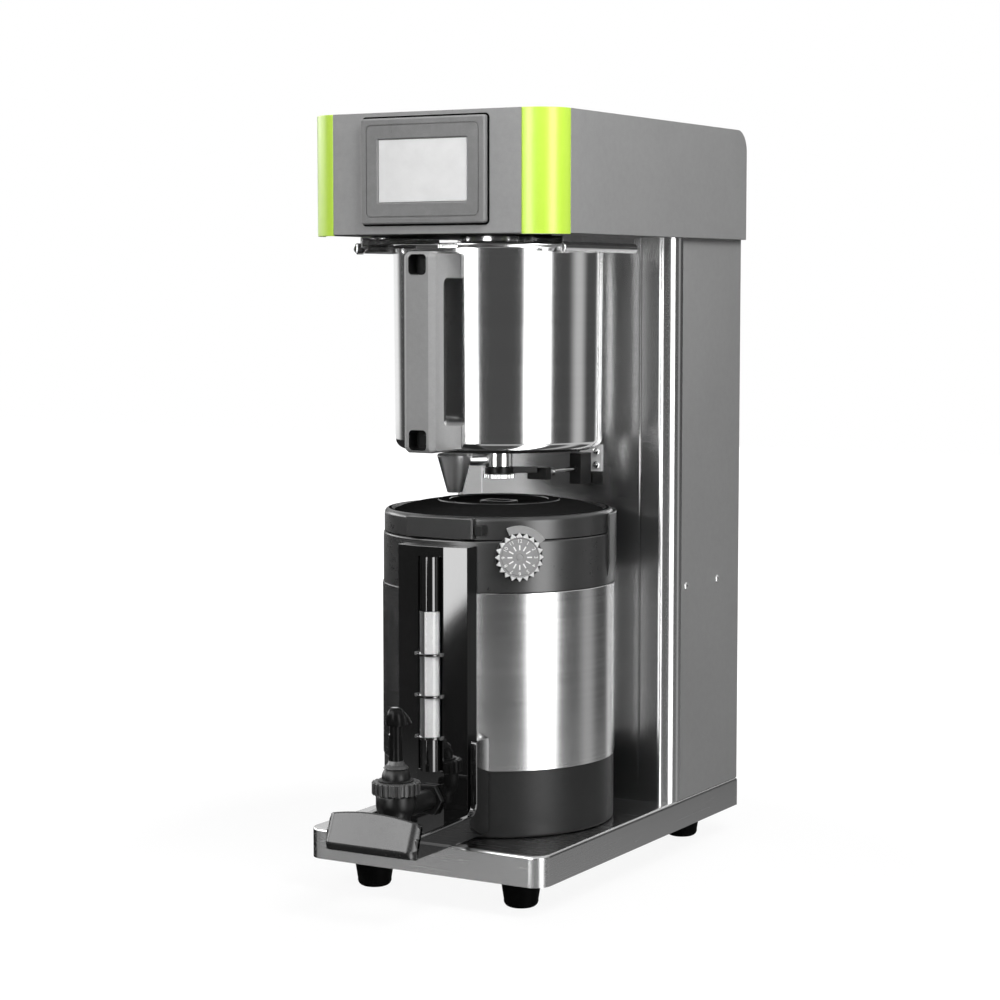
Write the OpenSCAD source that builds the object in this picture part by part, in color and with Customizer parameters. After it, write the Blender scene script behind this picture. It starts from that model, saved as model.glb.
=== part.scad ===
// Tea brewing machine with a slide-out brew basket and a thermal tea server.
// Millimetres, +Z up, X across the front, Y to the back.
// The brew axis, shared by the basket and the server, is the line x = 0, y = 0
// before the whole machine is centred on its footprint.

/* [Base] */
// Width of the plinth, and of the column that stands on it
base_w = 260; // [240:1:300]
// Height of the base plinth
base_h = 29.5; // [22:0.5:40]
// Radius of the plinth's two front corners
base_r = 16; // [8:1:28]
// Sheet thickness of the plinth tray
base_sheet = 2; // [1.2:0.1:3]
// Thickness of the plate that closes the plinth from below
base_plate_t = 2; // [1.2:0.1:3]
// Distance from the brew axis forward to the front of the plinth
axis_setback = 146; // [130:1:180]

/* [Feet] */
// Height of a foot
foot_h = 31; // [20:1:50]
// Diameter of a foot at the plinth
foot_top_d = 41; // [32:1:48]
// Diameter of a foot at the floor
foot_bottom_d = 30; // [20:1:31]
// Rounding of a foot's lower edge
foot_edge_r = 4; // [2:0.5:6]
// Distance of a foot's axis from the side of the plinth
foot_inset_side = 48; // [30:1:60]
// Distance of a front foot's axis from the front of the plinth
foot_inset_front = 46; // [30:1:60]
// Distance of a rear foot's axis from the back of the plinth
foot_inset_rear = 36; // [28:1:60]
// Diameter of the stud that fixes a foot
stud_d = 8; // [6:1:10]

/* [Column] */
// How far the column's sides stand behind the plinth's sides
column_inset = 1; // [0:0.5:6]
// Depth of the column
column_d = 158; // [150:1:190]
// Radius of the column's front corners
column_r = 20; // [12:1:24]
// Sheet thickness of column and head panels
panel_t = 1.5; // [1:0.1:2.5]
// Gap between the server and the column
server_gap = 7; // [4:0.5:20]

/* [Head] */
// How far the head overhangs the column on each side
head_overhang = 6; // [1:0.5:20]
// How far the head's front stands behind the plinth's front
head_setback = 10; // [4:1:20]
// Radius of the coloured corner trims
trim_r = 33; // [22:1:40]
// Wall of a corner trim
trim_t = 3; // [2:0.2:5]
// How far a trim hangs below the head
trim_drop = 1; // [0.5:0.1:3]
// Radius of the head's rear top edge
head_back_r = 22; // [10:1:30]
// Thickness of the head's floor plate
head_floor_t = 2; // [1.5:0.1:3]

/* [Display] */
// Width of the display bezel
bezel_w = 134; // [125:1:150]
// Height of the display bezel
bezel_h = 97.5; // [90:0.5:110]
// Thickness of the display bezel
bezel_t = 6; // [4:0.5:10]
// Corner radius of the bezel
bezel_r = 7; // [3:0.5:12]
// Width of the touch panel
screen_w = 95.5; // [85:0.5:110]
// Height of the touch panel
screen_h = 57.5; // [50:0.5:70]
// Depth of the touch panel below the bezel's face
screen_recess = 1; // [0.5:0.1:2]
// Head panel left below the bezel
bezel_margin_low = 9.3; // [6:0.1:20]
// Head panel left above the bezel
bezel_margin_high = 5.7; // [4:0.1:20]

/* [Rails] */
// Length of a basket rail
rail_l = 144; // [120:1:170]
// Height of a basket rail
rail_h = 12; // [10:0.5:16]
// Sheet thickness of a rail
rail_t = 1.5; // [1:0.1:2]
// Width of the lip that carries the basket's rim
rail_lip = 6; // [4.5:0.5:6.5]
// Width of the flange that is screwed to the head
rail_flange = 11; // [10:0.5:14]
// Length of the flared lead-in at a rail's front end
rail_flare = 10; // [6:0.5:14]
// Downward angle of the lead-in
rail_flare_angle = 35; // [20:1:45]

/* [Basket] */
// Radius of the basket's wall below the rim
pot_top_r = 102.5; // [95:0.5:108]
// Radius of the basket's wall above the bottom edge
pot_bottom_r = 101; // [92:0.5:107]
// Height from the basket's bottom to the underside of its rim
pot_h = 195; // [170:1:230]
// Wall of the basket
pot_wall = 1.5; // [1:0.1:2.5]
// Radius of the basket's lower edge
pot_edge_r = 10; // [5:0.5:16]
// Width of the basket's rim outside the wall
pot_rim = 7; // [6:0.5:9]
// Thickness of the basket's rim
pot_rim_t = 2.5; // [2:0.1:4]
// Height of the filter plate above the basket's floor
filter_h = 18; // [12:1:30]
// Width of the handle
handle_w = 34; // [28:1:44]
// Thickness of the handle's grip bar
handle_grip_t = 19; // [14:1:26]
// Depth of the finger gap behind the grip
handle_gap = 29; // [24:1:40]
// Height of the handle's foot above the pot's bottom
handle_bottom_gap = 3; // [0:0.5:12]
// Height of each handle arm
handle_arm_h = 24; // [20:1:32]
// Side of the square screw pockets in the handle's face
handle_pocket = 19; // [14:1:20]
// Depth of the square screw pockets
handle_pocket_d = 14; // [9:1:16]

/* [Drain valve] */
// Radius of the valve's body
valve_r = 14; // [11:0.5:18]
// Radius of the serrated ring under the valve
valve_ring_r = 15.6; // [13:0.2:20]
// Distance of the pour spout from the brew axis
spout_reach = 44.5; // [38:0.5:50]
// Upper radius of the pour spout
spout_top_r = 17.5; // [14:0.5:20]
// Lower radius of the pour spout
spout_low_r = 7.5; // [6.5:0.5:9]
// Height from the spout's tip to the basket's bottom
spout_drop = 43; // [38:1:60]
// Gap between the spout's tip and the server's lid
drip_gap = 7; // [5:1:30]
// Distance of the lever's push pad behind the brew axis
lever_pad_y = 36; // [32:0.5:44]
// Distance of the actuator's pin to the right of the brew axis
pin_x = 31; // [28:0.5:36]
// Diameter of the actuator's pin
pin_d = 5; // [4:0.5:6]
// Travel of the actuator's pin
pin_travel = 8; // [4:0.5:8]
// Depth of the actuator's box
actuator_d = 22; // [20:1:34]
// Width of the actuator's box
actuator_w = 13; // [12:1:22]
// Height of the actuator's box
actuator_h = 31; // [24:1:40]

/* [Server] */
// Radius of the server over its steel band
server_r = 114; // [106:0.5:120]
// Height of the server's base
server_base_h = 64.3; // [50:0.5:80]
// Wall of the server's base and collar
server_wall = 4; // [3:0.2:6]
// How far the base stands behind the steel band
server_base_step = 0.8; // [0.4:0.1:1]
// Height of the steel band
band_h = 169; // [120:1:220]
// Thickness of the steel band
band_t = 1.5; // [1:0.1:2]
// Height of the collar
collar_h = 49.5; // [40:0.5:60]
// How far the collar stands behind the steel band
collar_step = 1; // [0.4:0.1:1]
// Thickness of the raised rear half of the collar
ear_t = 3; // [2:0.2:5]
// Radius of the inner liner
liner_r = 96; // [85:0.5:98]
// Wall of the inner liner
liner_t = 1.2; // [1:0.1:2]
// Height of the lid's rim
lid_h = 22.5; // [16:0.5:30]
// Height of the lid's dome above its rim
dome_h = 8; // [2:0.5:10]
// Radius of the lid's dome
dome_r = 60; // [52:1:75]
// Length of the lid's fill opening
fill_l = 27; // [20:1:36]
// Width of the lid's fill opening
fill_w = 18; // [12:1:24]

/* [Sight gauge and faucet] */
// Width of the gauge housing
gauge_w = 76; // [60:1:84]
// How far the gauge housing stands in front of the server
gauge_d = 15; // [13:0.5:22]
// Radius of the sight glass
glass_r = 10.5; // [7:0.5:10.5]
// Length of the sight glass
glass_l = 121; // [90:1:130]
// Height of the sight glass above the server's foot
glass_z = 96; // [88:1:110]
// Distance of the faucet in front of the server
faucet_reach = 75.5; // [68:0.5:90]
// Radius of the knurled faucet nut
nut_r = 22.5; // [20:0.5:30]
// Height of the knurled faucet nut
nut_h = 12.5; // [10:0.5:20]
// Width of the faucet guard
guard_w = 98; // [90:1:110]
// Gap between the faucet nut and the guard's front
guard_gap = 20.5; // [10:0.5:30]
// Thickness of the guard's front plate
guard_t = 8; // [5:0.5:12]
// Height of the guard's front plate
guard_h = 38; // [26:1:44]
// Height of the guard's uprights
guard_upright_h = 91; // [70:1:110]

/* [Dial] */
// Radius of the timer dial over its teeth
dial_r = 23.2; // [18:0.2:24]
// Thickness of the timer dial
dial_t = 3; // [2:0.2:5]
// Angle of the dial to the right of the server's front
dial_angle = 39.5; // [34:0.5:50]
// Number of teeth round the dial
dial_teeth = 20; // [12:1:28]

/* [Rear fittings] */
// Diameter of the water inlet's threaded stub
inlet_d = 26.4; // [20:0.1:33]
// Length of the water inlet's threaded stub
inlet_l = 18; // [14:1:24]
// Height of the water inlet and the cable gland above the plinth
service_z = 60; // [46:1:80]
// Distance of the rear fittings from the middle
service_x = 52; // [46:1:60]
// Width of the power switch
switch_w = 22; // [18:1:30]
// Radius of the rocker's swing
rocker_r = 11; // [9:0.5:14]

/* [Inside] */
// Height of the boiler shelf above the floor
shelf_z = 270; // [240:1:300]
// Radius of the boiler
boiler_r = 63; // [50:1:64]
// Height of the boiler
boiler_h = 270; // [200:1:300]
// Radius of the water tubes
tube_r = 6; // [5:0.5:7]

/* [Hidden] */

$fn = 64;
// Overshoot of a cutting tool
eps = 0.5;
// Gap between panels that butt together
seam = 0.2;
// Gap under a piece that slides
slide_clear = 0.2;
// Gap between curved faces of neighbouring pieces
curve_clear = 0.3;
// Radial clearance of a turning or sliding pin
pin_clear = 0.05;
// Radial clearance of a bolt in its hole
hole_clear = 0.15;

steel = [0.78, 0.78, 0.77];
bright_steel = [0.86, 0.86, 0.86];
grey_paint = [0.45, 0.45, 0.46];
lime = [0.72, 0.88, 0.2];
black = [0.1, 0.1, 0.1];
dark_grey = [0.3, 0.3, 0.31];
copper = [0.72, 0.45, 0.3];
glass = [0.85, 0.9, 0.92];
board_green = [0.1, 0.35, 0.2];

// Screws
screw_head_r = 3.8;
screw_head_h = 2.4;
screw_r = 1.95;
screw_l = 8;
screw_recess_r = 1.6;
screw_recess_d = 1.2;
screw_hole_r = screw_r + hole_clear;

// Widths along X
column_w = base_w - 2 * column_inset;
head_w = column_w + 2 * head_overhang;

// Depths along Y from the brew axis
fitting_flange_t = 4;
ear_r = server_r + ear_t;
y_column = ear_r + server_gap;
y_back = y_column + column_d;
y_base = -axis_setback;
y_base_mid = (y_base + y_back) / 2;
base_d = y_back - y_base;
y_head = y_base + head_setback;
y_gauge = -server_r - gauge_d;
y_faucet = -server_r - faucet_reach;
y_guard = y_faucet - nut_r - guard_gap - guard_t;
y_tail = y_back + fitting_flange_t + inlet_l;
y_mid = (y_guard + y_tail) / 2;

// Heights
z_base = foot_h;
z_base_top = z_base + base_h;
z_server = z_base_top + slide_clear;
z_band = z_server + server_base_h;
z_collar = z_band + band_h;
z_lid = z_collar + collar_h;
z_lid_top = z_lid + lid_h;
z_dome = z_lid_top + dome_h;
z_spout = z_dome + drip_gap;
z_pot = z_spout + spout_drop;
z_rim = z_pot + pot_h;
z_head = z_rim - slide_clear - rail_t + rail_h;
z_floor = z_head + head_floor_t;
head_h = bezel_margin_low + bezel_h + bezel_margin_high;
z_head_top = z_head + head_h;
z_bezel = z_head + bezel_margin_low + bezel_h / 2;

// Groove round the display bezel's face
bezel_groove = 1;
groove_inset = 7;
groove_w = bezel_w - 2 * groove_inset;
groove_h = bezel_h - 2 * groove_inset;

// Column inside
column_h = z_head - z_base_top;
y_boiler = y_column + panel_t + (column_d - 2 * panel_t) / 2;
shelf_t = 2;
shelf_flange = 18;
shelf_inset = 4;
shelf_y0 = y_boiler - boiler_r + shelf_inset;
shelf_y1 = y_boiler + boiler_r - shelf_inset;
shelf_half = column_w / 2 - panel_t - seam;
shelf_screw_front = 10;
shelf_screw_rear = 34;
shelf_screw_y = [shelf_y0 + shelf_screw_front, shelf_y1 - shelf_screw_rear];
shelf_screw_z = shelf_z + shelf_flange / 2;
z_boiler = shelf_z + shelf_t;
z_boiler_top = z_boiler + boiler_h;
boiler_t = 1.5;
heater_r = 4;
heater_half = 14;
heater_off = 22;
heater_y = y_boiler + heater_off;
heater_depth = boiler_h * 0.75;
heater_flange_r = 26;
heater_flange_t = 4;
heater_pin_r = heater_r - 1;
heater_pin_h = 12;
tube_off = 28;
tube_y = y_boiler - tube_off;
tube_wall = 1.2;
tube_bore = tube_r - tube_wall;
tube_bend = tube_r * 2.4;
tube_dip = 12;

// Opening in the head's floor over the column
duct_inset = 35;

// Dispense valve on the head's floor
dispense_off = 30;
dispense_y = y_column - dispense_off;
dispense_w = 36;
dispense_l = 44;
dispense_h = 42;
dispense_port = 27;
z_dispense = z_floor + dispense_port;
coil_r = 14;
coil_h = 24;

// Control board behind the head's front
board_inset = 7;
board_gap = 9;
board_t = 1.6;
board_post_r = 3;
board_chip_h = 5;
board_cap_r = 7;
board_cap_h = 16;
board_plug = 9;

// Spray head under the head's floor
spray_r = 38;
spray_t = 5;
spray_stem_r = 10;
spray_stem_h = z_dispense - tube_bend - z_floor - seam;
spray_holes = 12;
spray_hole_r = 1.5;
spray_ring = 0.65;

// Inlet valve and rear fittings
z_service = z_base_top + service_z;
fitting_hex = 5;
fitting_wall = 3;
fitting_neck_r = inlet_d / 2 - fitting_wall;
fitting_neck_l = 14;
inlet_port_x = 10;
inlet_port_y = 14;
inlet_port = [-service_x + inlet_port_x, y_boiler + inlet_port_y];
inlet_block = 40;
y_inlet_neck = y_back - panel_t - fitting_neck_l - seam;
gland_r = 12;
gland_neck_r = 8;
gland_bore_r = 4.5;
gland_hex = 2;
gland_neck_l = 10;
gland_hex_l = 5;
gland_cap_l = 9;
gland_tip_l = 5;
switch_pivot_r = 1.8;
switch_wall = 3;
switch_h = 2 * rocker_r + 2 * curve_clear;
switch_flange = 3;
switch_rim_t = 2;
switch_bore_t = 3;
switch_depth = rocker_r + 2 * switch_bore_t;
switch_rise = 75;
z_switch = z_service + switch_rise;
rocker_tilt = 8;
side_flange = 30;
back_screw_x = column_w / 2 - panel_t - side_flange / 2;
back_screw_end = 30;
back_screw_z = [z_base_top + back_screw_end, z_base_top + column_h / 2, z_head - back_screw_end];

// Rails and basket
pot_rim_r = pot_top_r + pot_rim;
rail_clear = 1;
rail_x = pot_rim_r + rail_clear;
rail_outer = rail_x + rail_t;
rail_forward = 2;
rail_y0 = -rail_l / 2 - rail_forward;
rail_screw_x = rail_x - rail_flange / 2 + seam;
rail_screw_end = 30;
rail_screw_y = [rail_y0 + rail_screw_end, rail_y0 + rail_l - rail_screw_end];
y_handle = -pot_top_r - handle_gap - handle_grip_t;
handle_top_gap = 6;
z_handle = z_pot + handle_bottom_gap;
handle_h = pot_h - handle_bottom_gap - handle_top_gap;
handle_chamfer = 5;
boss_r = 6;
boss_l = 9;
boss_bore = 2.6;
boss_thread_l = 7;
boss_screw_r = 4.5;
boss_screw_h = 3;
boss_z = [z_handle + handle_arm_h / 2, z_handle + handle_h - handle_arm_h / 2];
tab_w = 28;
tab_t = 2.5;
filter_r = pot_bottom_r - pot_edge_r;
filter_t = 1.5;
filter_hole_r = 2.5;

// Drain valve
valve_neck_r = 8;
valve_nut_r = 13;
valve_nut_h = 6;
valve_seat_t = 2;
valve_stem_r = 7;
valve_drop = 30;
z_valve_ring = z_pot - valve_drop;
valve_ring_h = 4.5;
lever_h = 6;
z_lever = z_valve_ring + valve_ring_h + curve_clear;
z_valve_body = z_lever + lever_h + curve_clear;
valve_ribs = 24;
valve_rib_r = 1.6;
valve_bore = 5;
lever_hub_r = valve_r - curve_clear;
lever_arm_w = 11;
lever_arm_x = pin_x - 4;
lever_pad_t = 10;
lever_pad_h = 12;
lever_pad_drop = 7;
lever_pad_left = 14;
lever_pad_right = 7.5;
spout_angle = 225;
spout_wall = 2;
spout_bore = spout_low_r - spout_wall;
spout_arm_r = 6;
spout_arm_rise = 1.5;
z_spout_arm = z_valve_body + spout_arm_r + spout_arm_rise;
spout_top_gap = 5;
z_spout_top = z_pot - spout_top_gap;

// Actuator on the column
actuator_plate_t = 2;
pin_r = pin_d / 2;
pin_tip_gap = 0.3;
z_pin = z_lever + lever_pad_h / 2 - lever_pad_drop;
z_actuator = z_pin - actuator_h / 2;
y_actuator = y_column - actuator_plate_t - actuator_d;
actuator_wall = 4;
actuator_bore_l = actuator_d - actuator_wall;
pin_l = y_actuator + actuator_bore_l - pin_travel / 2 - lever_pad_y - pin_tip_gap;
pin_collar_r = pin_r + 1.5;
pin_collar_t = 2;
pin_collar_y = lever_pad_y + 2 * pin_travel;
bracket_wing = 12;
bracket_x0 = pin_x - actuator_w / 2;
bracket_x1 = pin_x + actuator_w / 2 + bracket_wing;
bracket_h = 27;
bracket_rise = 8;
bracket_z = z_actuator + actuator_h - bracket_h + bracket_rise;
bracket_screw_x = bracket_x1 - bracket_wing / 2;
bracket_screw_end = 6.5;
bracket_screw_z = [bracket_z + bracket_screw_end, bracket_z + bracket_h - bracket_screw_end];

// Server
server_base_r = server_r - server_base_step;
collar_r = server_r - collar_step;
lid_step = 1;
lid_r = collar_r - lid_step;
lid_wall = 4;
lid_lip = 8;
lid_sink = 4;
lid_groove = 2;
lid_groove_w = 3;
lid_edge_r = 3;
lid_slope = 4;
dome_ring = 12;
liner_step = 8;
liner_flange_r = liner_r + liner_step;
liner_lift = 14;
z_liner = z_server + liner_lift;
liner_sink = 8;
z_liner_top = z_lid - liner_sink;
lid_plug_r = liner_flange_r - lid_step;
lid_latch_w = 74;
lid_latch_t = 1.5;
lid_latch_low = 1.5;
ear_angle = 8;
ear_low = 10;
ear_clear = 0.8;
ear_inner_r = lid_r + ear_clear;
ear_h = collar_h + lid_h - ear_t - ear_low;

// Gauge, faucet and guard
gauge_low = 4;
gauge_high = 5;
gauge_z0 = z_server + gauge_low;
gauge_z1 = z_lid - gauge_high;
gauge_edge_r = 5;
gauge_root = server_r * 0.7;
z_glass = z_server + glass_z;
groove_gap = 2.7;
groove_r = glass_r + groove_gap;
ring_w = 2.2;
ring_h = 2.5;
ring_steps = 3;
cap_step = 1;
cap_r = glass_r - cap_step;
socket_h = 30;
top_socket_h = 51;
glass_wall = 1.5;
shank_rise = 38;
z_shank = z_server + shank_rise;
shank_r = 10;
faucet_top_r = 20;
faucet_low_r = 13;
faucet_bore = 6;
faucet_rise = 24;
nut_rise = 53.5;
z_faucet = z_server + faucet_rise;
z_nut = z_server + nut_rise;
nut_ribs = 22;
nut_rib_r = 2;
bonnet_r = 13;
bonnet_h = 10;
z_bonnet_top = z_nut + nut_h + bonnet_h;
lever_slot = 8.4;
lever_blade = 8;
lever_pivot_r = 2;
lever_hub = 6;
lever_slot_d = lever_hub + 1;
z_lever_pivot = z_bonnet_top - lever_slot_d;
lever_neck_z = 13;
lever_neck_r = 6;
lever_neck_h = 39;
lever_cap_r = 9;
lever_cap_tip = 5.4;
lever_cap_h = 14;
pivot_cover = 3;
guard_rise = 6;
guard_z = z_server + guard_rise;
guard_arm_t = 7;
guard_arm_h = 22;
guard_upright_d = 24;
guard_edge_r = 6;
guard_crown = 5;

// Dial
dial_rise = 34.5;
z_dial = z_collar + dial_rise;
dial_plate_t = 2;
dial_plate_inset = 4;
dial_tag_w = 6.3;
dial_tag_r = dial_r + dial_tag_w;
dial_tag_from = 33;
dial_tag_to = 114;
dial_hub_r = 3;
dial_tooth_r = 1.7;
dial_seat = collar_r + seam / 2;

function arc(cx, cy, r, from, to, steps = 8) =
  [for (i = [0:steps]) let (a = from + (to - from) * i / steps) [cx + r * cos(a), cy + r * sin(a)]];

// Moves a shape from the brew axis to the middle of the footprint
module place() {
  translate([0, -y_mid, 0]) children();
}

module rounded_rect(w, d, r) {
  square([w - 2 * r, d], center = true);
  square([w, d - 2 * r], center = true);
  for (x = [-1, 1], y = [-1, 1]) translate([x * (w / 2 - r), y * (d / 2 - r)]) circle(r);
}

// Plan of a box from y0 back to y1 with round front corners
module front_rounded(w, y0, y1, r) {
  translate([-w / 2, y0 + r]) square([w, y1 - y0 - r]);
  translate([-w / 2 + r, y0]) square([w - 2 * r, r + eps]);
  for (x = [-1, 1]) translate([x * (w / 2 - r), y0 + r]) circle(r);
}

// Block by its two opposite corners
module block(low, high) {
  translate(low) cube(high - low);
}

// Plate drawn in Y and Z and extruded along X, from x0 to x1
module side_extrude(x0, x1) {
  translate([x0, 0, 0]) rotate([90, 0, 90]) linear_extrude(x1 - x0) children();
}

// Upright panel drawn in X and Z and extruded backwards from y0
module front_extrude(y0, t) {
  translate([0, y0 + t, 0]) rotate([90, 0, 0]) linear_extrude(t) children();
}

// Cylinder along Y from y0 to y1
module y_rod(x, z, r, y0, y1) {
  translate([x, y1, z]) rotate([90, 0, 0]) cylinder(r = r, h = y1 - y0);
}

// Cylinder along X from x0 to x1
module x_rod(y, z, r, x0, x1) {
  translate([x0, y, z]) rotate([0, 90, 0]) cylinder(r = r, h = x1 - x0);
}

// Pan-head screw whose seat is at the origin, with its head towards +Z
module screw() {
  difference() {
    union() {
      cylinder(r = screw_head_r, h = screw_head_h);
      translate([0, 0, -screw_l]) cylinder(r = screw_r, h = screw_l + eps);
    }
    translate([0, 0, screw_head_h - screw_recess_d])
      cylinder(r = screw_recess_r, h = screw_head_h, $fn = 6);
  }
}

module foot_places() {
  for (x = [-1, 1], y = [y_base + foot_inset_front, y_back - foot_inset_rear])
    translate([x * (base_w / 2 - foot_inset_side), y, 0]) children();
}

module base_tray() {
  color(steel) place() translate([0, y_base_mid, z_base]) difference() {
    linear_extrude(base_h) front_rounded(base_w, -base_d / 2, base_d / 2, base_r);
    translate([0, 0, -eps]) linear_extrude(base_h - base_sheet + eps)
      front_rounded(base_w - 2 * base_sheet, base_sheet - base_d / 2, base_d / 2 - base_sheet,
        base_r - base_sheet);
  }
}

module base_plate() {
  inset = 2 * base_sheet + 2 * seam;
  color(steel) place() difference() {
    translate([0, y_base_mid, z_base]) linear_extrude(base_plate_t)
      front_rounded(base_w - inset, (inset - base_d) / 2, (base_d - inset) / 2, base_r - inset / 2);
    foot_places() translate([0, 0, z_base - eps])
      cylinder(r = stud_d / 2 + hole_clear, h = base_plate_t + 2 * eps);
  }
}

module foot(side, y) {
  low_r = foot_bottom_d / 2;
  color(black) place() translate([side * (base_w / 2 - foot_inset_side), y, 0]) {
    rotate_extrude() polygon(concat(
      [[0, 0]],
      arc(low_r - foot_edge_r, foot_edge_r, foot_edge_r, -90, 0, 6),
      [[foot_top_d / 2, foot_h], [0, foot_h]]
    ));
    translate([0, 0, foot_h - eps]) cylinder(d = stud_d, h = base_plate_t + stud_d + eps);
  }
}

module foot_front_left() {
  foot(-1, y_base + foot_inset_front);
}

module foot_front_right() {
  foot(1, y_base + foot_inset_front);
}

module foot_rear_left() {
  foot(-1, y_back - foot_inset_rear);
}

module foot_rear_right() {
  foot(1, y_back - foot_inset_rear);
}

module column_front_panel() {
  y_end = y_column + column_r;
  color(steel) place() difference() {
    translate([0, 0, z_base_top]) linear_extrude(column_h) difference() {
      front_rounded(column_w, y_column, y_end + column_r, column_r);
      front_rounded(column_w - 2 * panel_t, y_column + panel_t, y_end + 2 * column_r, column_r - panel_t);
      translate([-column_w, y_end]) square([2 * column_w, 2 * column_r]);
    }
    for (z = bracket_screw_z)
      y_rod(bracket_screw_x, z, screw_hole_r, y_column - eps, y_column + panel_t + eps);
  }
}

module column_side(side) {
  x0 = column_w / 2 - panel_t;
  y_flange = y_back - panel_t - seam;
  color(grey_paint) place() mirror([side < 0 ? 1 : 0, 0, 0]) difference() {
    union() {
      block([x0, y_column + column_r + seam, z_base_top], [column_w / 2, y_back, z_head]);
      block([x0 - side_flange, y_flange - panel_t, z_base_top], [x0 + eps, y_flange, z_head]);
    }
    for (y = shelf_screw_y) x_rod(y, shelf_screw_z, screw_hole_r, x0 - eps, column_w / 2 + eps);
    for (z = back_screw_z) y_rod(back_screw_x, z, screw_hole_r, y_flange - panel_t - eps, y_flange + eps);
  }
}

module column_side_left() {
  column_side(-1);
}

module column_side_right() {
  column_side(1);
}

module back_screw_places() {
  for (x = [-1, 1], z = back_screw_z) translate([x * back_screw_x, 0, z]) children();
}

module column_back_panel() {
  half = column_w / 2 - panel_t - seam;
  color(grey_paint) place() difference() {
    block([-half, y_back - panel_t, z_base_top], [half, y_back, z_head]);
    y_rod(-service_x, z_service, fitting_neck_r + hole_clear, y_back - panel_t - eps, y_back + eps);
    y_rod(service_x, z_service, gland_neck_r + hole_clear, y_back - panel_t - eps, y_back + eps);
    translate([service_x, y_back - panel_t - eps, z_switch]) block(
      [-switch_w / 2 - switch_wall - seam, 0, -switch_h / 2 - switch_wall - seam],
      [switch_w / 2 + switch_wall + seam, panel_t + 2 * eps, switch_h / 2 + switch_wall + seam]
    );
    back_screw_places() y_rod(0, 0, screw_hole_r, y_back - panel_t - eps, y_back + eps);
  }
}

module machine_screws() {
  color(bright_steel) place() {
    for (side = [-1, 1], y = shelf_screw_y)
      translate([side * column_w / 2, y, shelf_screw_z]) rotate([0, side * 90, 0]) screw();
    back_screw_places() translate([0, y_back, 0]) rotate([-90, 0, 0]) screw();
    for (side = [-1, 1], y = rail_screw_y)
      translate([side * rail_screw_x, y, z_head - rail_t]) rotate([180, 0, 0]) screw();
    for (z = bracket_screw_z)
      translate([bracket_screw_x, y_column - actuator_plate_t, z]) rotate([90, 0, 0]) screw();
  }
}

module boiler_shelf() {
  color(steel) place() difference() {
    union() {
      block([-shelf_half, shelf_y0, shelf_z], [shelf_half, shelf_y1, shelf_z + shelf_t]);
      for (side = [-1, 1]) mirror([side < 0 ? 1 : 0, 0, 0])
        block([shelf_half - shelf_t, shelf_y0, shelf_z], [shelf_half, shelf_y1, shelf_z + shelf_flange]);
    }
    for (side = [-1, 1], y = shelf_screw_y)
      x_rod(y, shelf_screw_z, screw_hole_r, side * shelf_half - 2 * shelf_t,
        side * shelf_half + 2 * shelf_t);
    translate([inlet_port[0], inlet_port[1], shelf_z - eps])
      cylinder(r = tube_r + shelf_t, h = shelf_t + 2 * eps);
  }
}

module heater_places() {
  for (x = [-1, 1]) translate([x * heater_half, heater_y, 0]) children();
}

module boiler_tank() {
  color(bright_steel) place() difference() {
    translate([0, y_boiler, z_boiler]) difference() {
      cylinder(r = boiler_r, h = boiler_h);
      translate([0, 0, boiler_t]) cylinder(r = boiler_r - boiler_t, h = boiler_h - 2 * boiler_t);
    }
    heater_places() translate([0, 0, z_boiler_top - 2 * boiler_t])
      cylinder(r = heater_r + hole_clear, h = 3 * boiler_t);
    translate([0, tube_y, z_boiler_top - 2 * boiler_t])
      cylinder(r = tube_r + hole_clear, h = 3 * boiler_t);
    translate([inlet_port[0], inlet_port[1], z_boiler - eps])
      cylinder(r = tube_bore, h = boiler_t + 2 * eps);
  }
}

module heating_element() {
  z_low = z_boiler_top - heater_depth;
  color(copper) place() {
    heater_places() translate([0, 0, z_low]) cylinder(r = heater_r, h = heater_depth + eps);
    translate([0, heater_y, z_low]) rotate([-90, 0, 0]) rotate_extrude(angle = 180)
      translate([heater_half, 0]) circle(heater_r);
    translate([0, heater_y, z_boiler_top]) cylinder(r = heater_flange_r, h = heater_flange_t);
    heater_places() translate([0, 0, z_boiler_top + heater_flange_t - eps])
      cylinder(r = heater_pin_r, h = heater_pin_h + eps);
  }
}

// Quarter bend that rises along +Z and turns towards -Y
module elbow() {
  rotate([90, 0, 90]) rotate_extrude(angle = 90) translate([tube_bend, 0]) difference() {
    circle(tube_r);
    circle(tube_bore);
  }
}

module tube_run(l) {
  difference() {
    cylinder(r = tube_r, h = l);
    translate([0, 0, -eps]) cylinder(r = tube_bore, h = l + 2 * eps);
  }
}

module hot_water_tube() {
  z_low = z_boiler_top - tube_dip;
  y_in = dispense_y + dispense_l / 2 + seam;
  y_out = dispense_y - dispense_l / 2 - seam;
  color(steel) place() {
    translate([0, tube_y, z_low]) tube_run(z_dispense - tube_bend - z_low);
    translate([0, tube_y - tube_bend, z_dispense - tube_bend]) elbow();
    translate([0, tube_y - tube_bend, z_dispense]) rotate([90, 0, 0]) tube_run(tube_y - tube_bend - y_in);
    translate([0, y_out, z_dispense]) rotate([90, 0, 0]) tube_run(y_out - tube_bend);
    translate([0, tube_bend, z_dispense - tube_bend]) mirror([0, 1, 0]) elbow();
  }
}

module dispense_valve() {
  color(dark_grey) place() translate([0, dispense_y, z_floor]) difference() {
    union() {
      block([-dispense_w / 2, -dispense_l / 2, 0], [dispense_w / 2, dispense_l / 2, dispense_h]);
      translate([0, 0, dispense_h - eps]) cylinder(r = coil_r, h = coil_h + eps);
    }
    y_rod(0, z_dispense - z_floor, tube_bore, -dispense_l, dispense_l);
  }
}

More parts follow.
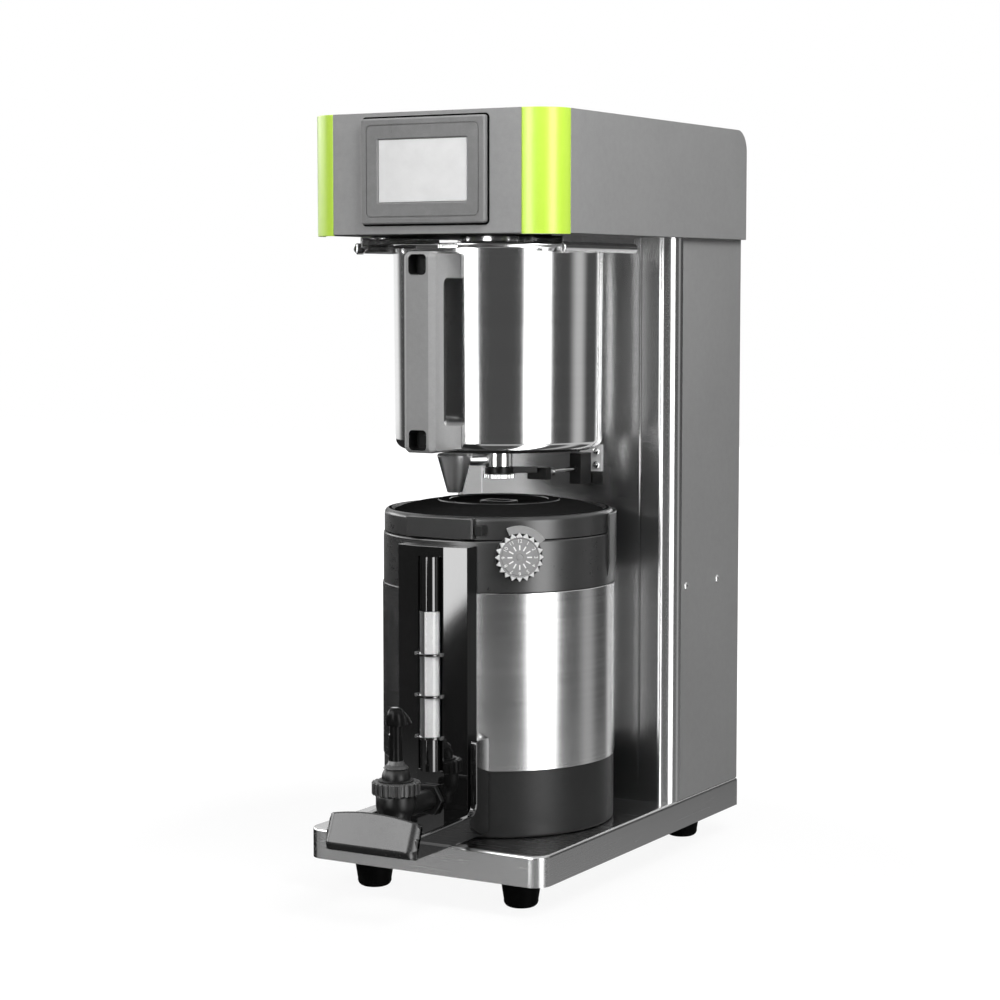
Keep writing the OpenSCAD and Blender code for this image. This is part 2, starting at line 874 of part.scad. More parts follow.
module inlet_valve() {
  z_top = z_service + inlet_block / 2;
  color(dark_grey) place() difference() {
    union() {
      translate([inlet_port[0], inlet_port[1], z_service])
        cube([inlet_block, inlet_block, inlet_block], center = true);
      y_rod(-service_x, z_service, fitting_neck_r, inlet_port[1], y_inlet_neck);
      x_rod(inlet_port[1], z_service, coil_r, inlet_port[0], inlet_port[0] + inlet_block / 2 + coil_h);
      translate([inlet_port[0], inlet_port[1], z_top - eps])
        cylinder(r = tube_r, h = z_boiler - seam - z_top + eps);
    }
    translate([inlet_port[0], inlet_port[1], z_service])
      cylinder(r = tube_bore, h = z_boiler - z_service);
    y_rod(-service_x, z_service, tube_bore, inlet_port[1], y_back);
  }
}

module water_inlet_fitting() {
  color(bright_steel) place() difference() {
    union() {
      y_rod(-service_x, z_service, fitting_neck_r, y_back - panel_t - fitting_neck_l, y_back + eps);
      translate([-service_x, y_back + fitting_flange_t, z_service]) rotate([90, 0, 0])
        cylinder(r = inlet_d / 2 + fitting_hex, h = fitting_flange_t, $fn = 6);
      y_rod(-service_x, z_service, inlet_d / 2, y_back + fitting_flange_t - eps, y_tail);
    }
    y_rod(-service_x, z_service, tube_bore, y_back - 2 * fitting_neck_l, y_tail + eps);
  }
}

module cable_gland() {
  y_cap = y_back + gland_hex_l + gland_cap_l;
  color(black) place() difference() {
    union() {
      y_rod(service_x, z_service, gland_neck_r, y_back - panel_t - gland_neck_l, y_back + eps);
      translate([service_x, y_back + gland_hex_l, z_service]) rotate([90, 0, 0])
        cylinder(r = gland_r + gland_hex, h = gland_hex_l, $fn = 6);
      y_rod(service_x, z_service, gland_r, y_back + gland_hex_l - eps, y_cap);
      translate([service_x, y_cap, z_service]) rotate([-90, 0, 0])
        cylinder(r1 = gland_r, r2 = gland_neck_r, h = gland_tip_l);
    }
    y_rod(service_x, z_service, gland_bore_r, y_back - panel_t - gland_neck_l - eps,
      y_cap + gland_tip_l + eps);
  }
}

module switch_frame() {
  half_w = switch_w / 2;
  half_h = switch_h / 2;
  color(black) place() translate([service_x, y_back, z_switch]) difference() {
    union() {
      block([-half_w - switch_wall - switch_flange, 0, -half_h - switch_wall - switch_flange],
        [half_w + switch_wall + switch_flange, switch_rim_t, half_h + switch_wall + switch_flange]);
      block([-half_w - switch_wall, -switch_depth, -half_h - switch_wall],
        [half_w + switch_wall, eps, half_h + switch_wall]);
    }
    block([-half_w, -switch_depth + switch_bore_t, -half_h], [half_w, switch_rim_t + eps, half_h]);
    x_rod(0, 0, switch_pivot_r + pin_clear, -half_w - switch_wall + 0.6, half_w + switch_wall - 0.6);
  }
}

module power_rocker() {
  half_w = switch_w / 2 - curve_clear;
  color(dark_grey) place() translate([service_x, y_back, z_switch]) {
    side_extrude(-half_w, half_w) intersection() {
      circle(rocker_r);
      rotate(rocker_tilt) polygon([
        [-rocker_r, -rocker_r], [rocker_r * 0.45, -rocker_r], [rocker_r * 0.25, 0],
        [rocker_r * 0.45, rocker_r], [-rocker_r, rocker_r]
      ]);
    }
    x_rod(0, 0, switch_pivot_r, -switch_w / 2 - switch_wall + 1, switch_w / 2 + switch_wall - 1);
  }
}

// Plan of a plate that lies inside the head's panels and corner trims, back to y1
module head_plan(y1) {
  half = head_w / 2 - panel_t - seam;
  flat_half = head_w / 2 - trim_r;
  y0 = y_head + panel_t + seam;
  y_side = y_head + trim_r + seam;
  translate([-flat_half, y0]) square([2 * flat_half, y1 - y0]);
  translate([-half, y_side]) square([2 * half, y1 - y_side]);
  for (x = [-1, 1]) translate([x * flat_half, y_head + trim_r]) circle(trim_r - trim_t - seam);
}

module head_floor_plate() {
  color(dark_grey) place() difference() {
    translate([0, 0, z_head]) linear_extrude(head_floor_t) head_plan(y_back - panel_t - seam);
    block([-column_w / 2 + duct_inset, y_column + duct_inset, z_head - eps],
      [column_w / 2 - duct_inset, y_back - duct_inset, z_floor + eps]);
    translate([0, 0, z_head - eps]) cylinder(r = spray_stem_r + hole_clear, h = head_floor_t + 2 * eps);
    for (side = [-1, 1], y = rail_screw_y) translate([side * rail_screw_x, y, z_head - eps])
      cylinder(r = screw_hole_r, h = head_floor_t + 2 * eps);
  }
}

// Outline of the head seen from the side, from y0 to the back
module head_profile(y0, inset) {
  r = head_back_r - inset;
  y1 = y_back - inset;
  z1 = z_head_top - inset;
  translate([y0, z_head]) square([y1 - y0, z1 - r - z_head]);
  translate([y0, z_head]) square([y1 - r - y0, z1 - z_head]);
  translate([y1 - r, z1 - r]) circle(r);
}

module head_side(side) {
  color(grey_paint) place() mirror([side < 0 ? 1 : 0, 0, 0])
    side_extrude(head_w / 2 - panel_t, head_w / 2) head_profile(y_head + trim_r + seam, 0);
}

module head_side_left() {
  head_side(-1);
}

module head_side_right() {
  head_side(1);
}

module head_top_cover() {
  half = head_w / 2 - panel_t - seam;
  y0 = y_head + panel_t + seam;
  color(grey_paint) place() intersection() {
    side_extrude(-half, half) difference() {
      head_profile(y0, 0);
      translate([0, -eps]) head_profile(y0 - eps, panel_t);
      translate([y0 - eps, z_head - 2 * eps]) square([head_back_r, head_h - panel_t + 2 * eps]);
    }
    translate([0, 0, z_head]) linear_extrude(head_h) head_plan(y_back);
  }
}

module head_front_panel() {
  half = head_w / 2 - trim_r - seam;
  color(grey_paint) place() block([-half, y_head, z_head], [half, y_head + panel_t, z_head_top]);
}

module corner_trim(side) {
  color(lime) place() translate([side * (head_w / 2 - trim_r), y_head + trim_r, z_head - trim_drop])
    linear_extrude(head_h + trim_drop) intersection() {
      difference() {
        circle(trim_r);
        circle(trim_r - trim_t);
      }
      translate([side > 0 ? 0 : -trim_r, -trim_r]) square(trim_r);
    }
}

module corner_trim_left() {
  corner_trim(-1);
}

module corner_trim_right() {
  corner_trim(1);
}

module display_bezel() {
  color(dark_grey) place() translate([0, 0, z_bezel]) difference() {
    front_extrude(y_head - bezel_t, bezel_t) rounded_rect(bezel_w, bezel_h, bezel_r);
    front_extrude(y_head - bezel_t - eps, bezel_t + 2 * eps)
      square([screen_w + 2 * seam, screen_h + 2 * seam], center = true);
    front_extrude(y_head - bezel_t - eps, bezel_groove + eps) difference() {
      rounded_rect(groove_w, groove_h, bezel_r);
      rounded_rect(groove_w - 2 * bezel_groove, groove_h - 2 * bezel_groove, bezel_r - bezel_groove);
    }
  }
}

module display_screen() {
  color(glass) place() translate([0, 0, z_bezel])
    front_extrude(y_head - bezel_t + screen_recess, bezel_t - screen_recess)
      square([screen_w, screen_h], center = true);
}

module control_board() {
  w = bezel_w;
  h = bezel_h - 2 * board_inset;
  t = board_t;
  y0 = y_head + panel_t + board_gap;
  color(board_green) place() translate([0, 0, z_bezel]) {
    block([-w / 2, y0, -h / 2], [w / 2, y0 + t, h / 2]);
    for (x = [-1, 1], z = [-1, 1])
      y_rod(x * (w / 2 - 2 * board_post_r), z * (h / 2 - 2 * board_post_r), board_post_r,
        y_head + panel_t, y0 + eps);
    block([-w / 4, y0 + t - eps, -h / 4], [0, y0 + t + board_chip_h, h / 8]);
    for (x = [0.15, 0.3]) y_rod(x * w, h / 6, board_cap_r, y0 + t - eps, y0 + t + board_cap_h);
    block([-w / 3, y0 + t - eps, h / 4], [w / 3, y0 + t + board_plug, h / 4 + board_plug]);
  }
}

module spray_head() {
  color(bright_steel) place() difference() {
    union() {
      translate([0, 0, z_head - spray_t]) cylinder(r = spray_r, h = spray_t);
      translate([0, 0, z_head - eps]) cylinder(r = spray_stem_r, h = head_floor_t + spray_stem_h + eps);
    }
    translate([0, 0, z_head - spray_t - eps])
      cylinder(r = tube_bore, h = spray_t + head_floor_t + spray_stem_h + 2 * eps);
    for (i = [0:spray_holes - 1]) rotate(i * 360 / spray_holes)
      translate([spray_r * spray_ring, 0, z_head - spray_t - eps])
        cylinder(r = spray_hole_r, h = spray_t + 2 * eps);
  }
}

module rail() {
  z0 = z_head - rail_h;
  difference() {
    union() {
      block([rail_x, rail_y0, z0], [rail_outer, rail_y0 + rail_l, z_head]);
      block([rail_x - rail_lip, rail_y0, z0], [rail_outer, rail_y0 + rail_l, z0 + rail_t]);
      block([rail_x - rail_flange, rail_y0, z_head - rail_t], [rail_outer, rail_y0 + rail_l, z_head]);
      translate([rail_x - rail_lip, rail_y0 + rail_t, z0]) rotate([rail_flare_angle, 0, 0])
        translate([0, -rail_flare, 0]) cube([rail_lip + rail_t, rail_flare, rail_t]);
    }
    for (y = rail_screw_y) translate([rail_screw_x, y, z_head - rail_t - eps])
      cylinder(r = screw_hole_r, h = rail_t + 2 * eps);
  }
}

module rail_left() {
  color(bright_steel) place() mirror([1, 0, 0]) rail();
}

module rail_right() {
  color(bright_steel) place() rail();
}

module actuator_bracket() {
  color(steel) place() difference() {
    block([bracket_x0, y_column - actuator_plate_t, bracket_z],
      [bracket_x1, y_column, bracket_z + bracket_h]);
    for (z = bracket_screw_z)
      y_rod(bracket_screw_x, z, screw_hole_r, y_column - actuator_plate_t - eps, y_column + eps);
  }
}

module actuator_box() {
  color(black) place() difference() {
    block([pin_x - actuator_w / 2, y_actuator, z_actuator],
      [pin_x + actuator_w / 2, y_actuator + actuator_d, z_actuator + actuator_h]);
    y_rod(pin_x, z_pin, pin_r + pin_clear, y_actuator - eps, y_actuator + actuator_bore_l);
  }
}

module actuator_pin() {
  y0 = lever_pad_y + pin_tip_gap;
  color(bright_steel) place() {
    y_rod(pin_x, z_pin, pin_r, y0, y0 + pin_l);
    y_rod(pin_x, z_pin, pin_collar_r, pin_collar_y, pin_collar_y + pin_collar_t);
  }
}

module basket_pot() {
  low = pot_bottom_r;
  top = pot_top_r;
  inner_edge = pot_edge_r - pot_wall;
  color(bright_steel) place() difference() {
    union() {
      translate([0, 0, z_pot]) rotate_extrude($fn = 128) polygon(concat(
        [[0, 0]],
        arc(low - pot_edge_r, pot_edge_r, pot_edge_r, -90, 0),
        [[top, pot_h], [top + pot_rim, pot_h], [top + pot_rim, pot_h + pot_rim_t],
          [top - pot_wall, pot_h + pot_rim_t]],
        arc(low - pot_edge_r, pot_edge_r, inner_edge, 0, -90),
        [[0, pot_wall]]
      ));
      for (z = boss_z) difference() {
        y_rod(0, z, boss_r, -pot_top_r - boss_l, -pot_bottom_r + 2 * pot_wall);
        translate([0, 0, z_pot]) cylinder(r = pot_bottom_r - pot_wall / 2, h = pot_h);
      }
      difference() {
        block([-tab_w / 2, y_handle + handle_grip_t, z_rim - tab_t],
          [tab_w / 2, -pot_top_r + 2 * pot_wall, z_rim + eps]);
        translate([0, 0, z_pot]) cylinder(r = pot_top_r - pot_wall / 2, h = 2 * pot_h);
      }
    }
    for (z = boss_z) y_rod(0, z, boss_bore, -pot_top_r - boss_l - eps,
      -pot_top_r - boss_l + boss_thread_l);
    translate([0, 0, z_pot - eps]) cylinder(r = valve_neck_r + hole_clear, h = pot_wall + 2 * eps);
  }
}

module basket_handle() {
  half = handle_w / 2;
  z1 = z_handle + handle_h;
  bar_back = y_handle + handle_grip_t;
  color(dark_grey) place() difference() {
    translate([0, 0, z_handle]) linear_extrude(handle_h) polygon([
      [-half, 0], [-half, y_handle + handle_chamfer], [-half + handle_chamfer, y_handle],
      [half - handle_chamfer, y_handle], [half, y_handle + handle_chamfer], [half, 0]
    ]);
    translate([0, 0, z_handle - eps])
      cylinder(r1 = pot_bottom_r + curve_clear, r2 = pot_top_r + curve_clear,
      h = handle_h + 2 * eps, $fn = 128);
    block([-handle_w, bar_back, z_handle + handle_arm_h], [handle_w, 0, z1 - handle_arm_h]);
    for (z = boss_z) {
      y_rod(0, z, boss_r + hole_clear, -pot_top_r - boss_l - curve_clear, 0);
      y_rod(0, z, boss_bore + hole_clear, y_handle, 0);
      block([-handle_pocket / 2, y_handle - eps, z - handle_pocket / 2],
        [handle_pocket / 2, y_handle + handle_pocket_d, z + handle_pocket / 2]);
    }
  }
}

module handle_screws() {
  y_seat = y_handle + handle_pocket_d;
  color(bright_steel) place() for (z = boss_z) {
    y_rod(0, z, boss_screw_r, y_seat - boss_screw_h, y_seat);
    y_rod(0, z, boss_bore - hole_clear, y_seat - eps, -pot_top_r - boss_l + boss_thread_l - eps);
  }
}

module filter_plate() {
  rings = [for (i = [1:3]) filter_r * i / 4];
  z0 = z_pot + pot_wall;
  color(steel) place() difference() {
    translate([0, 0, z0]) difference() {
      cylinder(r = filter_r, h = filter_h);
      translate([0, 0, -eps]) cylinder(r = filter_r - filter_t, h = filter_h - filter_t + eps);
    }
    for (k = [1:3], i = [0:6 * k - 1]) rotate(i * 60 / k)
      translate([rings[k - 1], 0, z0 + filter_h - 2 * filter_t])
        cylinder(r = filter_hole_r, h = 3 * filter_t);
  }
}

module valve_body() {
  color(bright_steel) place() difference() {
    union() {
      translate([0, 0, z_pot - valve_seat_t])
        cylinder(r = valve_neck_r, h = valve_seat_t + pot_wall + valve_nut_h);
      translate([0, 0, z_pot + pot_wall]) cylinder(r = valve_nut_r, h = valve_nut_h, $fn = 6);
      translate([0, 0, z_valve_body]) cylinder(r = valve_r, h = z_pot - z_valve_body);
      translate([0, 0, z_valve_ring]) cylinder(r = valve_stem_r, h = z_valve_body - z_valve_ring + eps);
      translate([0, 0, z_valve_ring]) cylinder(r = valve_ring_r - valve_rib_r, h = valve_ring_h);
      for (i = [0:valve_ribs - 1]) rotate(i * 360 / valve_ribs)
        translate([valve_ring_r - valve_rib_r, 0, z_valve_ring])
          cylinder(r = valve_rib_r, h = valve_ring_h);
    }
    translate([0, 0, z_spout_arm])
      cylinder(r = valve_bore, h = z_pot + pot_wall + valve_nut_h + eps - z_spout_arm);
    rotate(spout_angle) x_rod(0, z_spout_arm, spout_arm_r - spout_wall, 0, 2 * valve_r);
  }
}

module pour_spout() {
  tip = [spout_reach, 0, z_spout];
  color(bright_steel) place() rotate(spout_angle) difference() {
    union() {
      translate(tip) cylinder(r1 = spout_low_r, r2 = spout_top_r, h = z_spout_top - z_spout);
      x_rod(0, z_spout_arm, spout_arm_r, 0, spout_reach);
    }
    cylinder(r = valve_r + seam, h = z_pot);
    translate([spout_reach, 0, z_spout - eps]) cylinder(r = spout_bore, h = z_spout_arm - z_spout + eps);
    x_rod(0, z_spout_arm, spout_arm_r - spout_wall, 0, spout_reach);
  }
}

module valve_lever() {
  pad_low = lever_pad_y - lever_pad_t;
  color(black) place() difference() {
    union() {
      translate([0, 0, z_lever]) cylinder(r = lever_hub_r, h = lever_h);
      translate([0, 0, z_lever]) rotate(atan2(pad_low, lever_arm_x)) translate([0, -lever_arm_w / 2, 0])
        cube([norm([lever_arm_x, pad_low]), lever_arm_w, lever_h]);
      block([pin_x - lever_pad_left, pad_low, z_lever - lever_pad_drop],
        [pin_x + lever_pad_right, lever_pad_y, z_lever - lever_pad_drop + lever_pad_h]);
    }
    translate([0, 0, z_lever - eps]) cylinder(r = valve_stem_r + pin_clear, h = lever_h + 2 * eps);
  }
}

module server_base() {
  color(black) place() translate([0, 0, z_server]) difference() {
    cylinder(r = server_base_r, h = server_base_h, $fn = 128);
    translate([0, 0, server_wall])
      cylinder(r = server_base_r - 2 * server_wall, h = server_base_h, $fn = 128);
  }
}

module server_band() {
  color(steel) place() translate([0, 0, z_band]) difference() {
    cylinder(r = server_r, h = band_h, $fn = 128);
    translate([0, 0, -eps]) cylinder(r = server_r - band_t, h = band_h + 2 * eps, $fn = 128);
  }
}

module server_collar() {
  color(black) place() {
    difference() {
      translate([0, 0, z_collar]) cylinder(r = collar_r, h = collar_h, $fn = 128);
      translate([0, 0, z_collar - eps])
        cylinder(r = liner_r + curve_clear, h = collar_h + 2 * eps, $fn = 128);
      translate([0, 0, z_liner_top - liner_t])
        cylinder(r = liner_flange_r + curve_clear, h = collar_h, $fn = 128);
    }
    translate([0, 0, z_collar + ear_low])
      rotate_extrude(angle = 180 - 2 * ear_angle, start = ear_angle, $fn = 128) polygon([
        [collar_r - eps, 0], [ear_r, ear_t], [ear_r, ear_h], [ear_inner_r, ear_h],
        [ear_inner_r, collar_h - ear_low], [collar_r - eps, collar_h - ear_low]
      ]);
  }
}

module server_liner() {
  h = z_liner_top - z_liner;
  color(bright_steel) place() translate([0, 0, z_liner]) difference() {
    union() {
      cylinder(r = liner_r, h = h, $fn = 128);
      translate([0, 0, h - liner_t]) cylinder(r = liner_flange_r, h = liner_t, $fn = 128);
    }
    translate([0, 0, liner_t]) cylinder(r = liner_r - liner_t, h = h, $fn = 128);
  }
}

module server_lid() {
  plug_low = z_liner_top + curve_clear - z_lid;
  deck = lid_h - lid_groove;
  dome_top = lid_h + dome_h;
  groove_out = lid_r - lid_lip;
  color(black) place() translate([0, 0, z_lid]) difference() {
    union() {
      rotate_extrude($fn = 128) polygon(concat(
        [[0, plug_low], [lid_plug_r, plug_low], [lid_plug_r, 0], [lid_r, 0]],
        arc(lid_r - lid_edge_r, lid_h - lid_edge_r, lid_edge_r, 0, 90, 4),
        [[groove_out, lid_h], [groove_out - lid_groove, deck], [groove_out - lid_groove - lid_groove_w, deck],
          [groove_out - 2 * lid_groove - lid_groove_w, lid_h], [dome_r + lid_slope, dome_top - lid_groove],
          [dome_r, dome_top], [dome_r - dome_ring, dome_top],
          [dome_r - dome_ring - lid_slope, dome_top - lid_sink], [0, dome_top - lid_sink]]
      ));
      intersection() {
        block([-lid_latch_w / 2, -lid_r - lid_latch_t, lid_latch_low],
          [lid_latch_w / 2, -lid_r * 0.8, lid_h - lid_latch_low]);
        cylinder(r = lid_r + 2 * lid_latch_t, h = lid_h);
      }
    }
    block([-fill_l / 2, -fill_w / 2, plug_low - eps], [fill_l / 2, fill_w / 2, dome_top]);
    translate([0, 0, plug_low - eps]) difference() {
      cylinder(r = lid_plug_r - lid_wall, h = deck - lid_wall - plug_low + eps, $fn = 128);
      cylinder(r = norm([fill_l, fill_w]) / 2 + lid_wall, h = dome_top - plug_low, $fn = 96);
    }
  }
}

module gauge_housing() {
  z_cap = z_glass + glass_l + seam;
  color(black) place() {
    difference() {
      translate([0, 0, gauge_z0]) linear_extrude(gauge_z1 - gauge_z0)
        front_rounded(gauge_w, y_gauge, -gauge_root, gauge_edge_r);
      translate([0, 0, z_server - eps]) cylinder(r = server_r + curve_clear, h = z_lid, $fn = 128);
      translate([0, y_gauge, z_glass - socket_h])
        cylinder(r = groove_r, h = glass_l + socket_h + top_socket_h);
      y_rod(0, z_shank, shank_r + hole_clear, y_gauge - eps, -gauge_root);
    }
    translate([0, y_gauge, z_cap]) cylinder(r = cap_r, h = z_glass + glass_l + top_socket_h - z_cap + eps);
    translate([0, y_gauge, z_glass - socket_h - eps]) cylinder(r = cap_r, h = socket_h + eps - seam);
  }
}

module gauge_glass() {
  color(glass) place() translate([0, y_gauge, z_glass]) difference() {
    cylinder(r = glass_r, h = glass_l);
    translate([0, 0, -eps]) cylinder(r = glass_r - glass_wall, h = glass_l + 2 * eps);
  }
}

module gauge_rings() {
  pitch = (glass_l - ring_h) / ring_steps;
  color(black) place() for (i = [0:ring_steps - 1])
    translate([0, y_gauge, z_glass + i * pitch]) difference() {
      cylinder(r = glass_r + ring_w, h = ring_h);
      translate([0, 0, -eps]) cylinder(r = glass_r + hole_clear, h = ring_h + 2 * eps);
    }
}

module faucet_body() {
  color(black) place() difference() {
    union() {
      translate([0, y_faucet, z_faucet])
        cylinder(r1 = faucet_low_r, r2 = faucet_top_r, h = z_nut - z_faucet);
      translate([0, y_faucet, z_nut - eps]) cylinder(r = bonnet_r, h = z_bonnet_top - z_nut + eps);
      y_rod(0, z_shank, shank_r, y_faucet, -server_r - 2);
    }
    translate([0, y_faucet, z_faucet - eps]) cylinder(r = faucet_bore, h = z_shank - z_faucet + eps);
    y_rod(0, z_shank, faucet_bore, y_faucet, -server_r);
    block([-lever_slot / 2, y_faucet - 2 * bonnet_r, z_lever_pivot - lever_slot_d],
      [lever_slot / 2, y_faucet + 2 * bonnet_r, z_bonnet_top + eps]);
    x_rod(y_faucet, z_lever_pivot, lever_pivot_r + pin_clear, -bonnet_r + pivot_cover,
      bonnet_r - pivot_cover);
  }
}

module faucet_nut() {
  color(black) place() translate([0, y_faucet, z_nut]) difference() {
    union() {
      cylinder(r = nut_r - nut_rib_r, h = nut_h);
      for (i = [0:nut_ribs - 1]) rotate(i * 360 / nut_ribs) translate([nut_r - nut_rib_r, 0, 0])
        cylinder(r = nut_rib_r, h = nut_h);
    }
    translate([0, 0, -eps]) cylinder(r = bonnet_r + hole_clear, h = nut_h + 2 * eps);
  }
}

module faucet_lever() {
  half = lever_blade / 2;
  color(black) place() translate([0, y_faucet, z_lever_pivot]) {
    x_rod(0, 0, lever_hub, -half, half);
    block([-half, -half, 0], [half, half, lever_neck_z + eps]);
    x_rod(0, 0, lever_pivot_r, -bonnet_r + pivot_cover + seam, bonnet_r - pivot_cover - seam);
    translate([0, 0, lever_neck_z]) cylinder(r = lever_neck_r, h = lever_neck_h);
    translate([0, 0, lever_neck_z + lever_neck_h - eps])
      cylinder(r1 = lever_cap_r, r2 = lever_cap_tip, h = lever_cap_h);
  }
}

module faucet_guard() {
  half = guard_w / 2;
  inner = half - guard_arm_t;
  crown_r = (half * half + guard_crown * guard_crown) / (2 * guard_crown);
  color(black) place() difference() {
    union() {
      translate([0, 0, guard_z]) linear_extrude(guard_arm_h) difference() {
        front_rounded(guard_w, y_guard, 0, guard_edge_r);
        translate([-inner, y_guard + guard_t]) square([2 * inner, -y_guard]);
      }
      intersection() {
        translate([0, 0, guard_z]) linear_extrude(guard_h)
          front_rounded(guard_w, y_guard, 0, guard_edge_r);
        translate([0, 0, guard_z]) front_extrude(y_guard, guard_t) translate([0, guard_h - crown_r])
          circle(crown_r);
      }
      for (side = [-1, 1]) mirror([side < 0 ? 1 : 0, 0, 0]) block(
        [inner, -server_r - guard_upright_d / 2, guard_z],
        [half, 0, guard_z + guard_upright_h]
      );
    }
    translate([0, 0, z_server - eps]) cylinder(r = server_r + curve_clear, h = z_lid, $fn = 128);
  }
}

// Stands a flat shape on the collar, facing outwards at the dial's place
module on_collar() {
  translate([0, 0, z_dial]) rotate([90, 0, dial_angle]) children();
}

module dial_plate() {
  tag_w = dial_tag_r - dial_hub_r - dial_plate_inset;
  color(black) place() on_collar() {
    translate([0, 0, dial_seat]) cylinder(r = dial_r - dial_plate_inset, h = dial_plate_t);
    translate([0, 0, dial_seat])
      rotate_extrude(angle = dial_tag_to - dial_tag_from, start = dial_tag_from)
      translate([dial_tag_r - tag_w, 0]) square([tag_w, dial_plate_t]);
    translate([0, 0, dial_seat]) cylinder(r = dial_hub_r, h = dial_plate_t + curve_clear + dial_t);
  }
}

module dial_disc() {
  color(steel) place() on_collar() translate([0, 0, dial_seat + dial_plate_t + curve_clear])
    difference() {
    union() {
      cylinder(r = dial_r - dial_tooth_r, h = dial_t);
      for (i = [0:dial_teeth - 1]) rotate(i * 360 / dial_teeth)
        translate([dial_r - dial_tooth_r, 0, 0]) cylinder(r = dial_tooth_r, h = dial_t);
    }
    translate([0, 0, -eps]) cylinder(r = dial_hub_r + pin_clear, h = dial_t + 2 * eps);
  }
}

base_tray();
base_plate();
foot_front_left();
foot_front_right();
foot_rear_left();
foot_rear_right();
column_front_panel();
column_side_left();
column_side_right();
column_back_panel();
machine_screws();
boiler_shelf();
boiler_tank();
heating_element();
hot_water_tube();
dispense_valve();
inlet_valve();
water_inlet_fitting();
cable_gland();
switch_frame();
power_rocker();
head_floor_plate();
head_side_left();
head_side_right();
head_top_cover();
head_front_panel();
corner_trim_left();
corner_trim_right();
display_bezel();
display_screen();
control_board();
spray_head();
rail_left();
rail_right();
actuator_bracket();
actuator_box();
actuator_pin();
basket_pot();
basket_handle();
handle_screws();
filter_plate();
valve_body();
pour_spout();
valve_lever();
server_base();
server_band();
server_collar();
server_liner();
server_lid();
gauge_housing();
gauge_glass();
gauge_rings();
faucet_body();
faucet_nut();
faucet_lever();
faucet_guard();
dial_plate();
dial_disc();
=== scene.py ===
"""Looks of a tea brewing machine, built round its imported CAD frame. Lengths are in millimetres."""
from math import atan2, cos, pi, radians, sin, sqrt, tan

import bmesh
import bpy
from mathutils import Matrix, Vector


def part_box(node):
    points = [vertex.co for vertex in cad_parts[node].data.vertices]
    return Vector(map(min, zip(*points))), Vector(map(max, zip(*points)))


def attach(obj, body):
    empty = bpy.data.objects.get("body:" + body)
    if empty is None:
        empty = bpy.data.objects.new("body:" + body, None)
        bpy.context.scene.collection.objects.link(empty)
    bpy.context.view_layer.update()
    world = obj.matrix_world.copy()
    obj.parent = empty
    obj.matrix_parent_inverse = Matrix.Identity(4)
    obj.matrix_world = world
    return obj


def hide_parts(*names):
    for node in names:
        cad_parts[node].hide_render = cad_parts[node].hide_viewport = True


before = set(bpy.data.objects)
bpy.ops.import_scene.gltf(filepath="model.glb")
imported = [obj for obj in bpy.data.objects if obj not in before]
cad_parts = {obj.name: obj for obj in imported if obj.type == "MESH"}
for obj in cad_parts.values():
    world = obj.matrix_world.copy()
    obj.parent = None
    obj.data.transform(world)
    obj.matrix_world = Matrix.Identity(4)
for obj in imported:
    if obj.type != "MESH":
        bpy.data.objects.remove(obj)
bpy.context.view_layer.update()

MM = 0.001

# Gap of a fit, how far cutters reach past their piece, steps of the widest circles
FIT = 0.3
PAST = 9
WIDE_STEPS = 192

# Folded sheet and plinth
SHEET = 1.5
TRAY_R = 16
TRAY_BACK_R = 0.5
TRAY_EDGE = 3
COLUMN_R = 17
CREASE_X = 92
CREASE_W = 2.2
CREASE_D = 0.31
FOOT_LOW_R = 16.5
FOOT_EDGE = 6
STUD_R = 4

# Rear fittings and screws
INLET_BORE = 5
INLET_PIPE_R = 10.2
THREAD_R = 13.2
THREAD_TURNS = 8
HEX_R = 18.2
HEX_H = 4
SCREW_HEAD_R = 3.8
SCREW_HEAD_H = 2.4
SCREW_RIM = 0.3
SCREW_R = 1.95
SCREW_L = 8
CROSS_L = 4.2
CROSS_W = 0.9
CROSS_Z = 1.2

# Head
TRIM_T = 3
BEZEL_R = 2.5
GROOVE_CORNER = 5
# Width of the black rim behind the bezel, painted shade for the shadow gap round it
BEZEL_SHADOW_RIM = 1.8
BEZEL_EDGE = 1.6
BEZEL_GROOVE = 1
GROOVE_INSET = 6
SCREEN_LIP = 1.4
SCREEN_EDGE = 0.4
BEAD_R = 5

# Brew basket
POT_WALL = 1.5
POT_EDGE_R = 10
POT_TOP_R = 102.5
POT_LOW_R = 101
POT_RIM_T = 2.5
POT_FILLET = 2.5
BOSS_R = 6
BOSS_L = 11
BOSS_OUT = 9
HANDLE_GRIP = 19
HANDLE_ARM = 24
HANDLE_CHAMFER = 5
HANDLE_TAPER = 0.4
HANDLE_CORNER = 6
HANDLE_GAP_R = 7
POCKET = 19
POCKET_D = 14
POCKET_R = 4
TAB_HALF = 14
TAB_T = 2.5
TAB_R = 3
VALVE_R = 14
VALVE_BORE = 5
VALVE_NECK_R = 8
VALVE_STEM_R = 7
VALVE_RING_H = 4.5
VALVE_EDGE = 0.6
VALVE_RIBS = 24
VALVE_RIB_R = 1.6
SPOUT_LOW_R = 7.5
SPOUT_TOP_R = 17.5
SPOUT_EDGE = 3
SPOUT_ARM_R = 6
SPOUT_ARM_BORE = 4
SPOUT_ARM_RISE = 7.7

